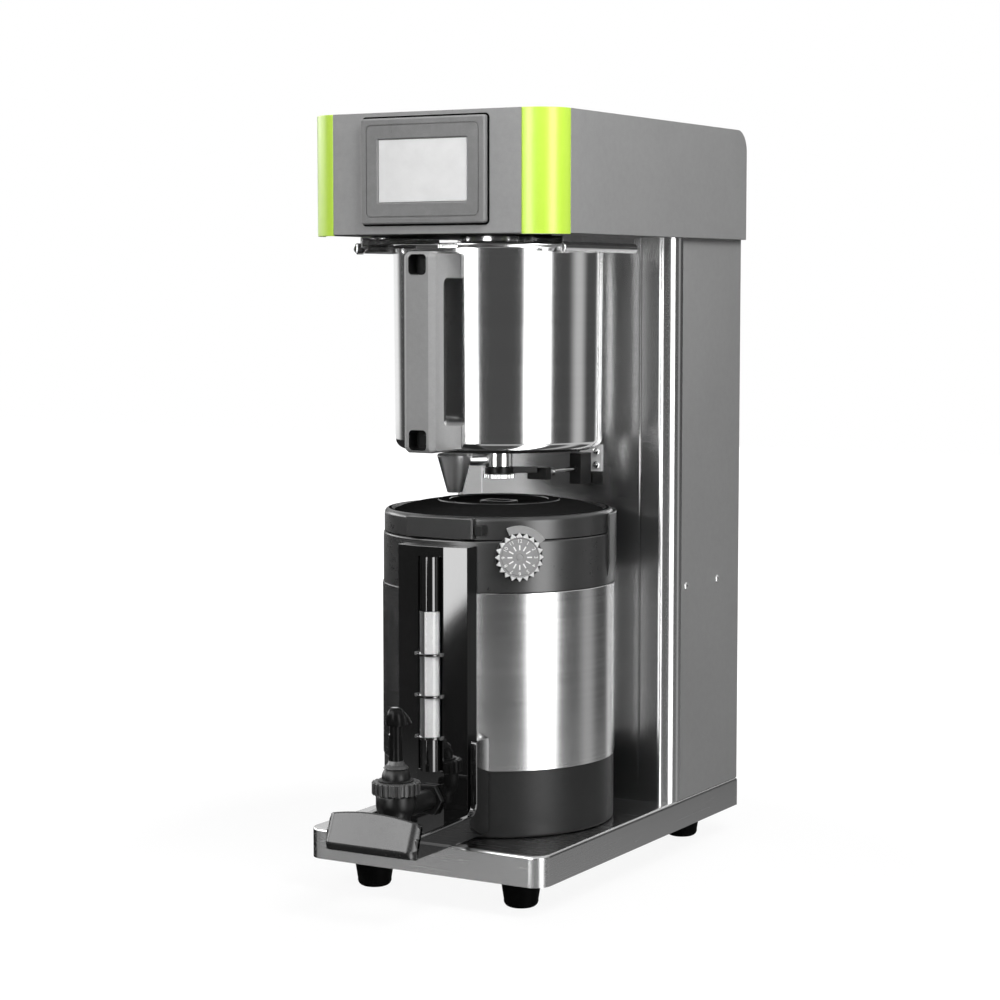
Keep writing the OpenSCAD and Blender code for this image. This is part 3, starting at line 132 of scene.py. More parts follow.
# Server
SERVER_WALL = 4
EAR_ANGLE = 8
EAR_R = 115.2
EAR_EDGE = 1.2
LID_PLUG = 7.7
LID_PLUG_R = 103
LID_LIP = 8
LID_GROOVE = 2
LID_EDGE_R = 5
DOME_H = 8
DOME_R = 60
DOME_RING = 12
DOME_SINK = 4
DOME_STEPS = 6
FILL_L = 27
FILL_W = 18
FILL_R = 4
FILL_RIM = 4
LATCH_HALF = 37
LATCH_D = 13
GROOVE_R = 13.2
SOCKET_LOW = 30
SOCKET_TOP = 51
CAP_R = 9.5
CASE_LEAN = 4.5
CASE_ROOT = 80
GLASS_WALL = 0.8
HOOPS = 3
HOOP_H = 2.5

# Faucet
FAUCET_BORE = 6
SHANK_R = 10
SHANK_RISE = 38
SHANK_START = 12
BONNET_R = 13.3
SKIRT_R = 15
SKIRT_GAP = 0.4
SKIRT_ANGLE = 52
NUT_RIBS = 22
NUT_RIB_R = 2
NUT_BEVEL = 1.4
LEVER_BLADE = 8
LEVER_HUB = 6
LEVER_STEPS = 40
PIN_R = 2
HOOD_H = 17
HOOD_R = 9
HOOD_LEVELS = 10
GUARD_ARM_T = 7
GUARD_ARM_H = 22
GUARD_ARM_ROOT = 60
GUARD_UPRIGHT = 24
GUARD_LEAN = 12
GUARD_H = 38
GUARD_T = 9
GUARD_CROWN = 5
GUARD_CORNER = 8
GUARD_COLUMNS = 24

# Reminder dial
DIAL_ANGLE = 39.5
DIAL_SEAT = 1.1
DIAL_PLATE_T = 2
DIAL_GAP = 0.3
DIAL_T = 3
DIAL_AXLE_R = 3
DIAL_TEETH = 20
TOOTH_H = 3.6
TAG_OUT = 6.3
TAG_T = 2.1
TAG_ARC = (33, 81)
DIAL_HOURS = 12
HOUR_SIZE = 5.0
HOUR_DEPTH = 0.08


def span(node):
    """Lowest and highest corner of a CAD node."""
    low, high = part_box(node)
    return low / MM, high / MM


def middle(node):
    low, high = span(node)
    return (low + high) / 2


brew_y = middle("server_band").y
server_r = span("server_band")[1].x + FIT
shank_z = span("server_base")[0].z + SHANK_RISE


# Outlines

def arc(cx, cy, r, start, end, steps=6):
    """Points on an arc between two angles in degrees."""
    turns = [radians(start + (end - start) * i / steps) for i in range(steps + 1)]
    return [(cx + r * cos(a), cy + r * sin(a)) for a in turns]


def filleted(corners, steps=6):
    """A closed outline of corners (x, y) or (x, y, r), with an arc of radius r where one is given."""
    outline = []
    for i, corner in enumerate(corners):
        here = Vector(corner[:2])
        if len(corner) < 3:
            outline.append(tuple(here))
            continue
        r = corner[2]
        back = (Vector(corners[i - 1][:2]) - here).normalized()
        ahead = (Vector(corners[(i + 1) % len(corners)][:2]) - here).normalized()
        half = back.angle(ahead) / 2
        centre = here + (back + ahead).normalized() * (r / sin(half))
        first = here + back * (r / tan(half)) - centre
        last = here + ahead * (r / tan(half)) - centre
        a0 = atan2(first.y, first.x)
        turn = (atan2(last.y, last.x) - a0 + pi) % (2 * pi) - pi
        for k in range(steps + 1):
            a = a0 + turn * k / steps
            outline.append((centre.x + r * cos(a), centre.y + r * sin(a)))
    return outline


def rounded_rect(w, h, r, cx=0.0, cy=0.0, steps=6):
    x, y = w / 2, h / 2
    corners = [(cx - x, cy - y, r), (cx + x, cy - y, r), (cx + x, cy + y, r), (cx - x, cy + y, r)]
    return filleted(corners, steps)


def plug(r, z0, z1):
    """Profile of a plain cylinder."""
    return [(0, z0), (r, z0), (r, z1), (0, z1)]


def tube(inner, r, z0, z1, edge):
    """Profile of a tube with broken outer edges."""
    return [(inner, z0), (r - edge, z0), (r, z0 + edge), (r, z1 - edge), (r - edge, z1), (inner, z1)]


def bow(r, z, angles):
    """Profile points on a sphere, by their angles from its top."""
    return [(r * sin(radians(a)), z + r * cos(radians(a))) for a in angles]


def level(outline, z):
    return [(x, y, z) for x, y in outline]


def facing(outline, y):
    return [(x, y, z) for x, z in outline]


def sideways(outline, x):
    return [(x, y, z) for y, z in outline]


# Solids

def skin(bm, loops, ring=False):
    """Joins closed loops of equally many points, capped at both ends or closed into a ring."""
    rows = [[bm.verts.new(p) for p in loop] for loop in loops]
    pairs = list(zip(rows, rows[1:]))
    if ring:
        pairs.append((rows[-1], rows[0]))
    for low, high in pairs:
        for i in range(len(low)):
            j = (i + 1) % len(low)
            bm.faces.new((low[i], low[j], high[j], high[i]))
    if not ring:
        bm.faces.new(rows[0][::-1])
        bm.faces.new(rows[-1])


def lathe(bm, profile, place=Matrix(), steps=96, start=0, sweep=360):
    """Turns a closed profile of (radius, height) points about a place's Z axis."""
    whole = sweep == 360
    count = steps if whole else steps + 1
    rows = []
    for i in range(count):
        a = radians(start + sweep * i / steps)
        rows.append([bm.verts.new(place @ Vector((r * cos(a), r * sin(a), z))) for r, z in profile])
    for i in range(steps):
        here, there = rows[i], rows[(i + 1) % count]
        for k in range(len(profile)):
            m = (k + 1) % len(profile)
            if profile[k][0] or profile[m][0]:
                bm.faces.new((here[k], there[k], there[m], here[m]))
    if not whole:
        bm.faces.new(rows[0])
        bm.faces.new(rows[-1][::-1])


def at(x, y, z=0.0):
    return Matrix.Translation((x, y, z))


def along_x(x, y, z):
    """A place whose Z axis points to the right."""
    return at(x, y, z) @ Matrix.Rotation(radians(90), 4, "Y")


def along_y(x, y, z):
    """A place whose Z axis points to the back."""
    return at(x, y, z) @ Matrix.Rotation(radians(-90), 4, "X")


brew_axis = at(0, brew_y)


def settled(obj):
    """Turns an object's modifiers into plain mesh."""
    depsgraph = bpy.context.evaluated_depsgraph_get()
    mesh = bpy.data.meshes.new_from_object(obj.evaluated_get(depsgraph))
    obj.modifiers.clear()
    obj.data = mesh
    return obj


def placed(name, data):
    """An object of this data, in the scene."""
    obj = bpy.data.objects.new(name, data)
    bpy.context.scene.collection.objects.link(obj)
    return obj


def meshed(name, bm):
    """An object of a drawn mesh as it is."""
    mesh = bpy.data.meshes.new(name)
    bm.to_mesh(mesh)
    bm.free()
    return placed(name, mesh)


def shaped(name, bm):
    """An object of what was drawn in millimetres."""
    bmesh.ops.remove_doubles(bm, verts=bm.verts, dist=MM)
    bmesh.ops.recalc_face_normals(bm, faces=bm.faces)
    bmesh.ops.scale(bm, vec=(MM, MM, MM), verts=bm.verts)
    return meshed(name, bm)


def solid(name, *loops, ring=False):
    bm = bmesh.new()
    skin(bm, loops, ring)
    return shaped(name, bm)


def prism(name, way, outline, start, end):
    """A straight solid between two places on an axis; way is level, facing or sideways."""
    return solid(name, way(outline, start), way(outline, end))


def turned(name, profile, place=Matrix(), steps=96, start=0, sweep=360):
    bm = bmesh.new()
    lathe(bm, profile, place, steps, start, sweep)
    return shaped(name, bm)


def server_room(low_z, high_z):
    """A cutter that clears the server's wall over a height."""
    return turned("server_room", plug(server_r, low_z - PAST, high_z + PAST), brew_axis, WIDE_STEPS)


def cut(obj, cutter):
    """Takes the cutter's solid out of an object."""
    trim = obj.modifiers.new("cut", "BOOLEAN")
    trim.operation = "DIFFERENCE"
    trim.solver = "EXACT"
    trim.object = cutter
    settled(obj)
    bpy.data.objects.remove(cutter)
    return obj


def eased(obj, width, segments=3, angle=32):
    """Rounds the edges that turn by more than an angle."""
    ease = obj.modifiers.new("ease", "BEVEL")
    ease.width = width * MM
    ease.segments = segments
    ease.limit_method = "ANGLE"
    ease.angle_limit = radians(angle)
    return settled(obj)


def merged(node):
    """A CAD node's mesh with its loose triangles joined into flat faces."""
    bm = bmesh.new()
    bm.from_mesh(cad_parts[node].data)
    bmesh.ops.remove_doubles(bm, verts=bm.verts, dist=1e-6)
    bmesh.ops.dissolve_limit(bm, angle_limit=radians(0.5), verts=bm.verts, edges=bm.edges)
    return bm


def dress(obj, look, body, *nodes, slot="", sharp=32):
    """Gives a piece its finish and its body, and hides the CAD nodes that it stands for.

    The slot is not used."""
    obj.data.materials.clear()
    obj.data.materials.append(FINISHES[look])
    obj.data.shade_smooth()
    obj.data.set_sharp_from_angle(angle=radians(sharp))
    even = obj.modifiers.new("even", "WEIGHTED_NORMAL")
    even.keep_sharp = True
    even.weight = 100
    settled(obj)
    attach(obj, body)
    if nodes:
        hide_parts(*nodes)
    slot or look
    return obj


def refinish(obj, extra, choose):
    """Adds finishes to a dressed piece; choose gives a face the number of its finish, 0 being the first."""
    for look in extra:
        obj.data.materials.append(FINISHES[look])
    for face in obj.data.polygons:
        face.material_index = choose(face)


def softened(node, look, body, edge, slot=""):
    """A piece with a CAD node's own shape and softly rounded edges."""
    return dress(eased(meshed(node + "_soft", merged(node)), edge, 2), look, body, node, slot=slot)


def paint(node, look):
    """Gives a CAD node that keeps its own shape a finish."""
    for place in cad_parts[node].material_slots:
        place.material = FINISHES[look]


# Node trees

def node(tree, kind, inputs=(), **settings):
    """Adds a node with these settings, and links or sets its inputs."""
    made = tree.nodes.new(kind)
    for key, value in settings.items():
        setattr(made, key, value)
    for key, value in dict(inputs).items():
        if isinstance(value, bpy.types.NodeSocket):
            tree.links.new(value, made.inputs[key])
        else:
            made.inputs[key].default_value = value
    return made


def group(name, kind, inputs, output):
    """A node group, its inputs and its output given by label and sort, and the sockets of its input node."""
    tree = bpy.data.node_groups.new(name, kind + "NodeTree")
    for label, sort in inputs.items():
        tree.interface.new_socket(label, in_out="INPUT", socket_type="NodeSocket" + sort)
    tree.interface.new_socket(output[0], in_out="OUTPUT", socket_type="NodeSocket" + output[1])
    return tree, node(tree, "NodeGroupInput").outputs


def maths(tree, operation, a, b=0.0, c=0.0):
    return node(tree, "ShaderNodeMath", {0: a, 1: b, 2: c}, operation=operation).outputs[0]


def times(tree, a, b):
    return maths(tree, "MULTIPLY", a, b)


def ramp(tree, value, low, high, to_low=0.0, to_high=1.0):
    inputs = {"Value": value, "From Min": low, "From Max": high, "To Min": to_low, "To Max": to_high}
    return node(tree, "ShaderNodeMapRange", inputs).outputs[0]


def window(tree, value, rise, full, fall, gone):
    """One between full and fall, nought below rise and above gone."""
    return times(tree, ramp(tree, value, rise, full), ramp(tree, value, fall, gone, 1.0, 0.0))


def grey(tone):
    return (tone, tone, tone, 1.0)


def blended(tree, share, first, second):
    """A colour between two, each a colour, a socket or a tone of grey."""
    ends = [grey(end) if isinstance(end, float) else end for end in (first, second)]
    return node(tree, "ShaderNodeMix", {0: share, 6: ends[0], 7: ends[1]}, data_type="RGBA").outputs[2]


def stretched(tree, vector, by):
    return node(tree, "ShaderNodeVectorMath", {0: vector, 1: by}, operation="MULTIPLY").outputs[0]


def noise(tree, vector, scale, detail=2.0):
    inputs = {"Vector": vector, "Scale": scale, "Detail": detail, "Roughness": 0.6}
    return node(tree, "ShaderNodeTexNoise", inputs).outputs[0]


def surface_grain():
    """Shader group: streaks or specks whose number per metre is set for each axis."""
    inputs = {"Vector": "Vector", "Stretch": "Vector"}
    tree, start = group("surface_grain", "Shader", inputs, ("Streak", "Float"))
    scaled = stretched(tree, start["Vector"], start["Stretch"])
    both = maths(tree, "ADD", noise(tree, scaled, 1.0, 3.0), noise(tree, scaled, 0.17))
    node(tree, "NodeGroupOutput", {"Streak": ramp(tree, both, 0.7, 1.3)})
    return tree


def handling_marks():
    """Shader group: broad soft patches, as wiping and handling leave them."""
    inputs = {"Vector": "Vector", "Number": "Float"}
    tree, start = group("handling_marks", "Shader", inputs, ("Mask", "Float"))
    patches = noise(tree, start["Vector"], start["Number"], 4.0)
    node(tree, "NodeGroupOutput", {"Mask": ramp(tree, patches, 0.35, 0.65)})
    return tree


GRAIN = surface_grain()
MARKS = handling_marks()
FINISHES = {}
STREAK_SHARE = 0.6
WAVE_STRETCH = (7, 7, 3)


def finish(name, dark, light, rough, stretch, bump=0.0, marks=9.0, plain=(), waves=0.0):
    """A material whose colour, roughness and relief follow its grain, its handling marks and slow waves.

    dark and light are colours or tones of grey, rough is a range, stretch and marks are numbers per metre,
    bump and waves are heights in millimetres."""
    material = bpy.data.materials.new(name)
    material.use_nodes = True
    tree = material.node_tree
    shader = tree.nodes["Principled BSDF"]
    for label, value in dict(plain).items():
        shader.inputs[label].default_value = value
    where = node(tree, "ShaderNodeTexCoord").outputs["Object"]
    streak = node(tree, "ShaderNodeGroup", {"Vector": where, "Stretch": stretch}, node_tree=GRAIN).outputs[0]
    patches = node(tree, "ShaderNodeGroup", {"Vector": where, "Number": marks}, node_tree=MARKS).outputs[0]
    both = maths(tree, "MULTIPLY_ADD", patches, 1 - STREAK_SHARE, times(tree, streak, STREAK_SHARE))
    tree.links.new(blended(tree, both, dark, light), shader.inputs["Base Color"])
    tree.links.new(ramp(tree, both, 0.0, 1.0, *rough), shader.inputs["Roughness"])
    if bump:
        relief = node(tree, "ShaderNodeBump", {"Height": streak, "Strength": 0.5, "Distance": bump * MM})
        if waves:
            swell = noise(tree, stretched(tree, where, WAVE_STRETCH), 1.0)
            sheet = node(tree, "ShaderNodeBump", {"Height": swell, "Strength": 1.0, "Distance": waves * MM})
            tree.links.new(sheet.outputs[0], relief.inputs["Normal"])
        tree.links.new(relief.outputs[0], shader.inputs["Normal"])
    FINISHES[name] = material


def shine(amount):
    return {"Specular IOR Level": amount}


METAL = {"Metallic": 1.0}
SATIN = shine(0.25)
BRUSHED = {"Metallic": 1.0, "Anisotropic": 0.95, "Anisotropic Rotation": 0.25}
SPECKS = (900, 900, 900)
SMOOTH = (300, 300, 300)
CAST = (200, 200, 200)
ACROSS = (4, 2400, 2400)
DEEP = (2400, 4, 2400)

finish("brushed_steel", 0.58, 0.68, (0.18, 0.24), (4, 4, 1600), 0.004, plain=METAL)
# Plinth tray: one steel in three copies. The top copy is painted lighter (painted light) and the side copy
# darker (painted shade) than the front copy, and each copy's grain runs along its faces.
finish("tray_top_steel_painted_light", 0.7, 0.74, (0.25, 0.28), ACROSS, plain=METAL)
finish("tray_front_steel", 0.56, 0.6, (0.25, 0.28), ACROSS, plain=METAL)
finish("tray_side_steel_painted_shade", 0.4, 0.44, (0.25, 0.28), DEEP, plain=METAL)
finish("column_steel", 0.56, 0.6, (0.22, 0.24), (4, 4, 2400), plain=BRUSHED)
finish("pot_steel", 0.84, 0.9, (0.1, 0.13), (8, 8, 900), 0.0005, plain=METAL, waves=1.0)
finish("polished_steel", 0.72, 0.85, (0.1, 0.2), SMOOTH, plain=METAL)
finish("plated_steel", 0.6, 0.7, (0.4, 0.5), SMOOTH, 0.004, plain={"Metallic": 0.2})
finish("spout_steel", 0.86, 0.92, (0.28, 0.34), SMOOTH, plain=METAL)
finish("grey_paint", 0.27, 0.32, (0.36, 0.46), SPECKS, 0.01, 6.0)
finish("floor_paint", 0.03, 0.045, (0.45, 0.6), SPECKS, 0.01)
finish("lime_paint", (0.53, 0.8, 0.06, 1), (0.57, 0.83, 0.08, 1), (0.34, 0.4), SPECKS, 0.004,
       plain={"Coat Weight": 1.0, "Coat Roughness": 0.3})
finish("bezel_grey", 0.19, 0.24, (0.26, 0.36), SPECKS, 0.01)
finish("screen_face", 0.82, 0.92, (0.1, 0.16), (60, 60, 60), marks=40.0, plain=shine(0.12))
finish("handle_grey", 0.25, 0.3, (0.34, 0.44), SPECKS, 0.03)
finish("black_plastic", 0.008, 0.015, (0.28, 0.4), SPECKS, 0.03, plain=SATIN)
finish("collar_black", 0.024, 0.032, (0.26, 0.32), SPECKS, 0.02, plain=shine(0.7))
finish("nut_black", 0.045, 0.06, (0.3, 0.4), SPECKS, 0.02)
finish("shell_black", 0.02, 0.028, (0.2, 0.3), SPECKS, 0.02)
finish("gloss_black", 0.005, 0.01, (0.03, 0.05), SPECKS, 0.002, plain={"Coat Weight": 1.0})
finish("lid_black", 0.01, 0.016, (0.3, 0.38), SPECKS, 0.01, plain=shine(0.0))
finish("wall_black", 0.012, 0.018, (0.4, 0.5), SPECKS, 0.01, plain=shine(0.02))
finish("foot_black", 0.014, 0.02, (0.34, 0.44), SPECKS, 0.01, plain=SATIN)
finish("lever_black", 0.004, 0.008, (0.2, 0.28), SPECKS, 0.01, plain=shine(0.08))
finish("rubber", 0.002, 0.004, (0.5, 0.68), SPECKS, 0.04, plain=shine(0.02))
finish("sight_glass", 0.95, 1.0, (0.02, 0.05), SPECKS, plain={"Transmission Weight": 1.0, "IOR": 1.45})
finish("gauge_white", 0.9, 0.97, (0.3, 0.42), SPECKS, 0.01)
finish("dial_silver", 0.27, 0.34, (0.3, 0.42), SPECKS, 0.01)
# Painted highlight: the light teeth stand for the glints on the edges of the clear dial's teeth.
finish("dial_teeth_painted_highlight", 0.75, 0.88, (0.2, 0.3), SPECKS, 0.01)
finish("dial_white", 0.93, 0.98, (0.4, 0.5), SPECKS)
finish("heater_copper", (0.62, 0.3, 0.17, 1), (0.78, 0.42, 0.26, 1), (0.2, 0.36), CAST, plain=METAL)
finish("inlet_brass", (0.6, 0.45, 0.2, 1), (0.74, 0.58, 0.3, 1), (0.2, 0.34), CAST, plain=METAL)
finish("board_green", (0.01, 0.09, 0.04, 1), (0.02, 0.14, 0.06, 1), (0.3, 0.4), SMOOTH)
finish("valve_grey", 0.06, 0.09, (0.4, 0.5), SPECKS, 0.03)


# Repeated pieces by geometry nodes

def growth_tree(name, inputs):
    """A geometry node tree that changes the geometry of its object and gives it a finish."""
    inputs = {"Geometry": "Geometry", **inputs, "Finish": "Material"}
    return group(name, "Geometry", inputs, ("Geometry", "Geometry"))


def made_real(tree, copies, material):
    """Ends a geometry node tree: copies as real geometry with a finish."""
    real = node(tree, "GeometryNodeRealizeInstances", {"Geometry": copies.outputs[0]})
    done = node(tree, "GeometryNodeSetMaterial", {"Geometry": real.outputs[0], "Material": material})
    node(tree, "NodeGroupOutput", {"Geometry": done.outputs[0]})
    return tree


def ring_tree():
    """Geometry nodes: copies of the given shape round a circle, set in a place."""
    tree, start = growth_tree("ring_of_copies", {
        "Count": "Int", "Radius": "Float", "Centre": "Vector", "Turn": "Vector"})
    points = node(tree, "GeometryNodePoints", {"Count": start["Count"]})
    index = node(tree, "GeometryNodeInputIndex").outputs[0]
    angle = times(tree, maths(tree, "DIVIDE", index, start["Count"]), 2 * pi)
    x = times(tree, maths(tree, "COSINE", angle), start["Radius"])
    y = times(tree, maths(tree, "SINE", angle), start["Radius"])
    spot = node(tree, "ShaderNodeCombineXYZ", {"X": x, "Y": y})
    turn = node(tree, "ShaderNodeCombineXYZ", {"Z": angle})
    spin = node(tree, "FunctionNodeEulerToRotation", {0: turn.outputs[0]})
    spread = node(tree, "GeometryNodeSetPosition", {
        "Geometry": points.outputs[0], "Position": spot.outputs[0]})
    copies = node(tree, "GeometryNodeInstanceOnPoints", {
        "Points": spread.outputs[0], "Instance": start["Geometry"], "Rotation": spin.outputs[0]})
    lean = node(tree, "FunctionNodeEulerToRotation", {0: start["Turn"]})
    moved = node(tree, "GeometryNodeTransform", {
        "Geometry": copies.outputs[0], "Translation": start["Centre"], "Rotation": lean.outputs[0]})
    return made_real(tree, moved, start["Finish"])


def screw_tree():
    """Geometry nodes: a screw at each given point, turned to face outwards."""
    tree, start = growth_tree("screws_at_points", {"Screw": "Object"})
    shape = node(tree, "GeometryNodeObjectInfo", {"Object": start["Screw"]})
    out = node(tree, "GeometryNodeInputNamedAttribute", {"Name": "outward"}, data_type="FLOAT_VECTOR")
    turn = node(tree, "FunctionNodeAlignRotationToVector", {"Vector": out.outputs[0]}, axis="Z")
    copies = node(tree, "GeometryNodeInstanceOnPoints", {
        "Points": start["Geometry"], "Instance": shape.outputs["Geometry"], "Rotation": turn.outputs[0]})
    return made_real(tree, copies, start["Finish"])


RING = ring_tree()
SCREWS = screw_tree()


def grown(obj, tree, values):
    """Runs a geometry node tree on an object, with its inputs by their labels."""
    grow = obj.modifiers.new("grow", "NODES")
    grow.node_group = tree
    names = {item.name: item.identifier for item in tree.interface.items_tree if item.in_out == "INPUT"}
    for label, value in values.items():
        grow[names[label]] = value
    return settled(obj)


def ring(name, shape, count, radius, place, look, body, slot=""):
    """A piece of copies of a drawn shape round a circle about a place's Z axis."""
    values = {"Count": count, "Radius": radius * MM, "Centre": place.translation * MM,
              "Turn": Vector(place.to_euler()), "Finish": FINISHES[look]}
    return dress(grown(shaped(name, shape), RING, values), look, body, slot=slot)


def rod_shape(r, z0, z1, edge=0.4, steps=12):
    """A drawn peg about the Z axis with eased ends."""
    bm = bmesh.new()
    lathe(bm, tube(0, r, z0, z1, edge), steps=steps)
    return bm


def screw_places(name):
    """Top of the head and outward direction of each screw in a CAD group of screws."""
    bm = merged(name)
    waiting = dict.fromkeys(bm.verts)
    places = []
    while waiting:
        reached = [waiting.popitem()[0]]
        for here in reached:
            for other in (e.other_vert(here) for e in here.link_edges):
                if other in waiting:
                    del waiting[other]
                    reached.append(other)
        island = [vert.co.copy() for vert in reached]
        low = Vector([min(c[i] for c in island) for i in range(3)])
        high = Vector([max(c[i] for c in island) for i in range(3)])
        size = high - low
        axis = max(range(3), key=lambda i: size[i])
        centre = (low + high) / 2
        out = [Vector([(c - centre)[i] * (i != axis) for i in range(3)]).length for c in island]
        wide = [c for c, gap in zip(island, out) if gap > 0.4 * min(size)]
        outward = Vector([float(i == axis) for i in range(3)])
        if sum(c[axis] for c in wide) / len(wide) < centre[axis]:
            outward.negate()
        places.append((centre + outward * size[axis] / 2, outward))
    bm.free()
    return places


def machine_screws():
    profile = [(0, -SCREW_L), (SCREW_R, -SCREW_L), (SCREW_R, 0), (SCREW_HEAD_R, 0),
               (SCREW_HEAD_R, SCREW_RIM * SCREW_HEAD_H)]
    profile += [(SCREW_HEAD_R * x, SCREW_HEAD_H * (SCREW_RIM + (1 - SCREW_RIM) * y))
                for x, y in arc(0, 0, 1, 0, 90, 5)[1:-1]] + [(0, SCREW_HEAD_H)]
    screw = turned("screw_shape", profile, steps=24)
    for turn in (0, 90):
        cross = rounded_rect(CROSS_L, CROSS_W, 0.3)
        slot = prism("slot", level, cross, CROSS_Z, 4)
        slot.data.transform(Matrix.Rotation(radians(turn), 4, "Z"))
        cut(screw, slot)
    places = screw_places("machine_screws")
    mesh = bpy.data.meshes.new("screw_points")
    mesh.from_pydata([tip - outward * SCREW_HEAD_H * MM for tip, outward in places], [], [])
    facing_out = mesh.attributes.new("outward", "FLOAT_VECTOR", "POINT")
    for item, place in zip(facing_out.data, places):
        item.vector = place[1]
    obj = placed("machine_screw_heads", mesh)
    grown(obj, SCREWS, {"Screw": screw, "Finish": FINISHES["polished_steel"]})
    bpy.data.objects.remove(screw)
    dress(obj, "polished_steel", "machine", "machine_screws")


# Plinth

def base_tray():
    low, high = span("base_tray")

    def loop(inset, z):
        x, front, back, r = high.x - inset, low.y + inset, high.y - inset, TRAY_R - inset
        corners = [(-x, front, r), (x, front, r), (x, back, TRAY_BACK_R), (-x, back, TRAY_BACK_R)]
        return level(filleted(corners, 10), z)

    edge = [loop(i, z) for i, z in arc(TRAY_EDGE, high.z - TRAY_EDGE, TRAY_EDGE, 180, 90)]
    obj = solid("plinth_tray", loop(SHEET, high.z - SHEET), loop(SHEET, low.z), loop(0, low.z), *edge)
    dress(obj, "tray_top_steel_painted_light", "machine", "base_tray", slot="brushed_steel")
    # Painted light and shade: faces that face up get the lighter steel, faces that face the sides get the
    # darker steel, and the rest get the front steel.
    refinish(obj, ("tray_front_steel", "tray_side_steel_painted_shade"),
             lambda face: 0 if face.normal.z > 0.9 else 2 if abs(face.normal.x) > 0.75 else 1)


def feet():
    neck = span("base_tray")[0].z
    for name in ("foot_front_left", "foot_front_right", "foot_rear_left", "foot_rear_right"):
        low, high = span(name)
        c = middle(name)
        top_r = (high.x - low.x) / 2 - 0.5
        profile = [(0, 0)] + arc(FOOT_LOW_R - FOOT_EDGE, FOOT_EDGE, FOOT_EDGE, -90, 10)
        profile += [(top_r, neck - 1), (top_r, neck), (STUD_R, neck), (STUD_R, high.z), (0, high.z)]
        dress(turned(name + "_rubber", profile, at(c.x, c.y), 64), "rubber", "machine", name)


# Column

def column():
    low, high = span("column_front_panel")
    x, front, back = high.x, low.y, high.y
    in_x, in_y, in_r = x - SHEET, front + SHEET, COLUMN_R - SHEET
    creases = [(c + i * CREASE_W, front + (0 if i else CREASE_D))
               for c in (-CREASE_X, CREASE_X) for i in (-1, 0, 1)]
    plan = filleted([(-x, back), (-x, front, COLUMN_R), *creases, (x, front, COLUMN_R), (x, back),
                     (in_x, back), (in_x, in_y, in_r), (-in_x, in_y, in_r), (-in_x, back)], 16)
    obj = prism("column_front", level, plan, low.z, high.z)
    dress(obj, "column_steel", "machine", "column_front_panel", slot="brushed_steel", sharp=9)
    for name in ("column_side_left", "column_side_right", "column_back_panel"):
        softened(name, "grey_paint", "machine", 0.5)
    for name in ("boiler_shelf", "boiler_tank", "hot_water_tube"):
        paint(name, "brushed_steel")
    paint("heating_element", "heater_copper")
    paint("inlet_valve", "valve_grey")


def rear_fittings():
    low, high = span("water_inlet_fitting")
    c = middle("water_inlet_fitting")
    flange_y = span("column_back_panel")[1].y + HEX_H
    pitch = (high.y - flange_y - 2) / THREAD_TURNS
    root = THREAD_R - 1
    profile = [(INLET_BORE, low.y), (INLET_PIPE_R - 0.4, low.y), (INLET_PIPE_R, low.y + 0.6),
               (INLET_PIPE_R, flange_y), (root, flange_y)]
    for i in range(THREAD_TURNS):
        profile += [(THREAD_R, flange_y + 1 + i * pitch), (root, flange_y + 1 + (i + 0.5) * pitch)]
    profile += [(root, high.y - 0.6), (root - 0.8, high.y), (INLET_BORE, high.y)]
    thread = turned("inlet_thread", [(r, y - low.y) for r, y in profile], along_y(c.x, low.y, c.z), 48)
    dress(thread, "inlet_brass", "machine", "water_inlet_fitting")
    hexagon = arc(c.x, c.z, HEX_R, 0, 300, 5)
    nut = eased(prism("inlet_hex", facing, hexagon, flange_y - HEX_H, flange_y), 0.8)
    dress(nut, "inlet_brass", "machine")
    softened("cable_gland", "black_plastic", "machine", 0.5)
    softened("switch_frame", "black_plastic", "machine", 0.5)
    softened("power_rocker", "gloss_black", "rocker", 0.4)


# Head

def head():
    for name in ("head_side_left", "head_side_right", "head_front_panel", "head_top_cover"):
        softened(name, "grey_paint", "machine", 0.4)
    paint("head_floor_plate", "floor_paint")
    paint("dispense_valve", "valve_grey")
    paint("control_board", "board_green")
    softened("spray_head", "polished_steel", "machine", 0.5)
    for side, name in ((-1, "corner_trim_left"), (1, "corner_trim_right")):
        low, high = span(name)
        r = high.x - low.x
        cx = low.x if side > 0 else high.x
        start, end = (-90, 0) if side > 0 else (180, 270)
        plan = arc(cx, low.y + r, r, start, end, 24) + arc(cx, low.y + r, r - TRIM_T, end, start, 24)
        obj = eased(prism(name + "_lime", level, plan, low.z, high.z), 0.5, 2)
        dress(obj, "lime_paint", "machine", name, slot="lime_trim")
    display()


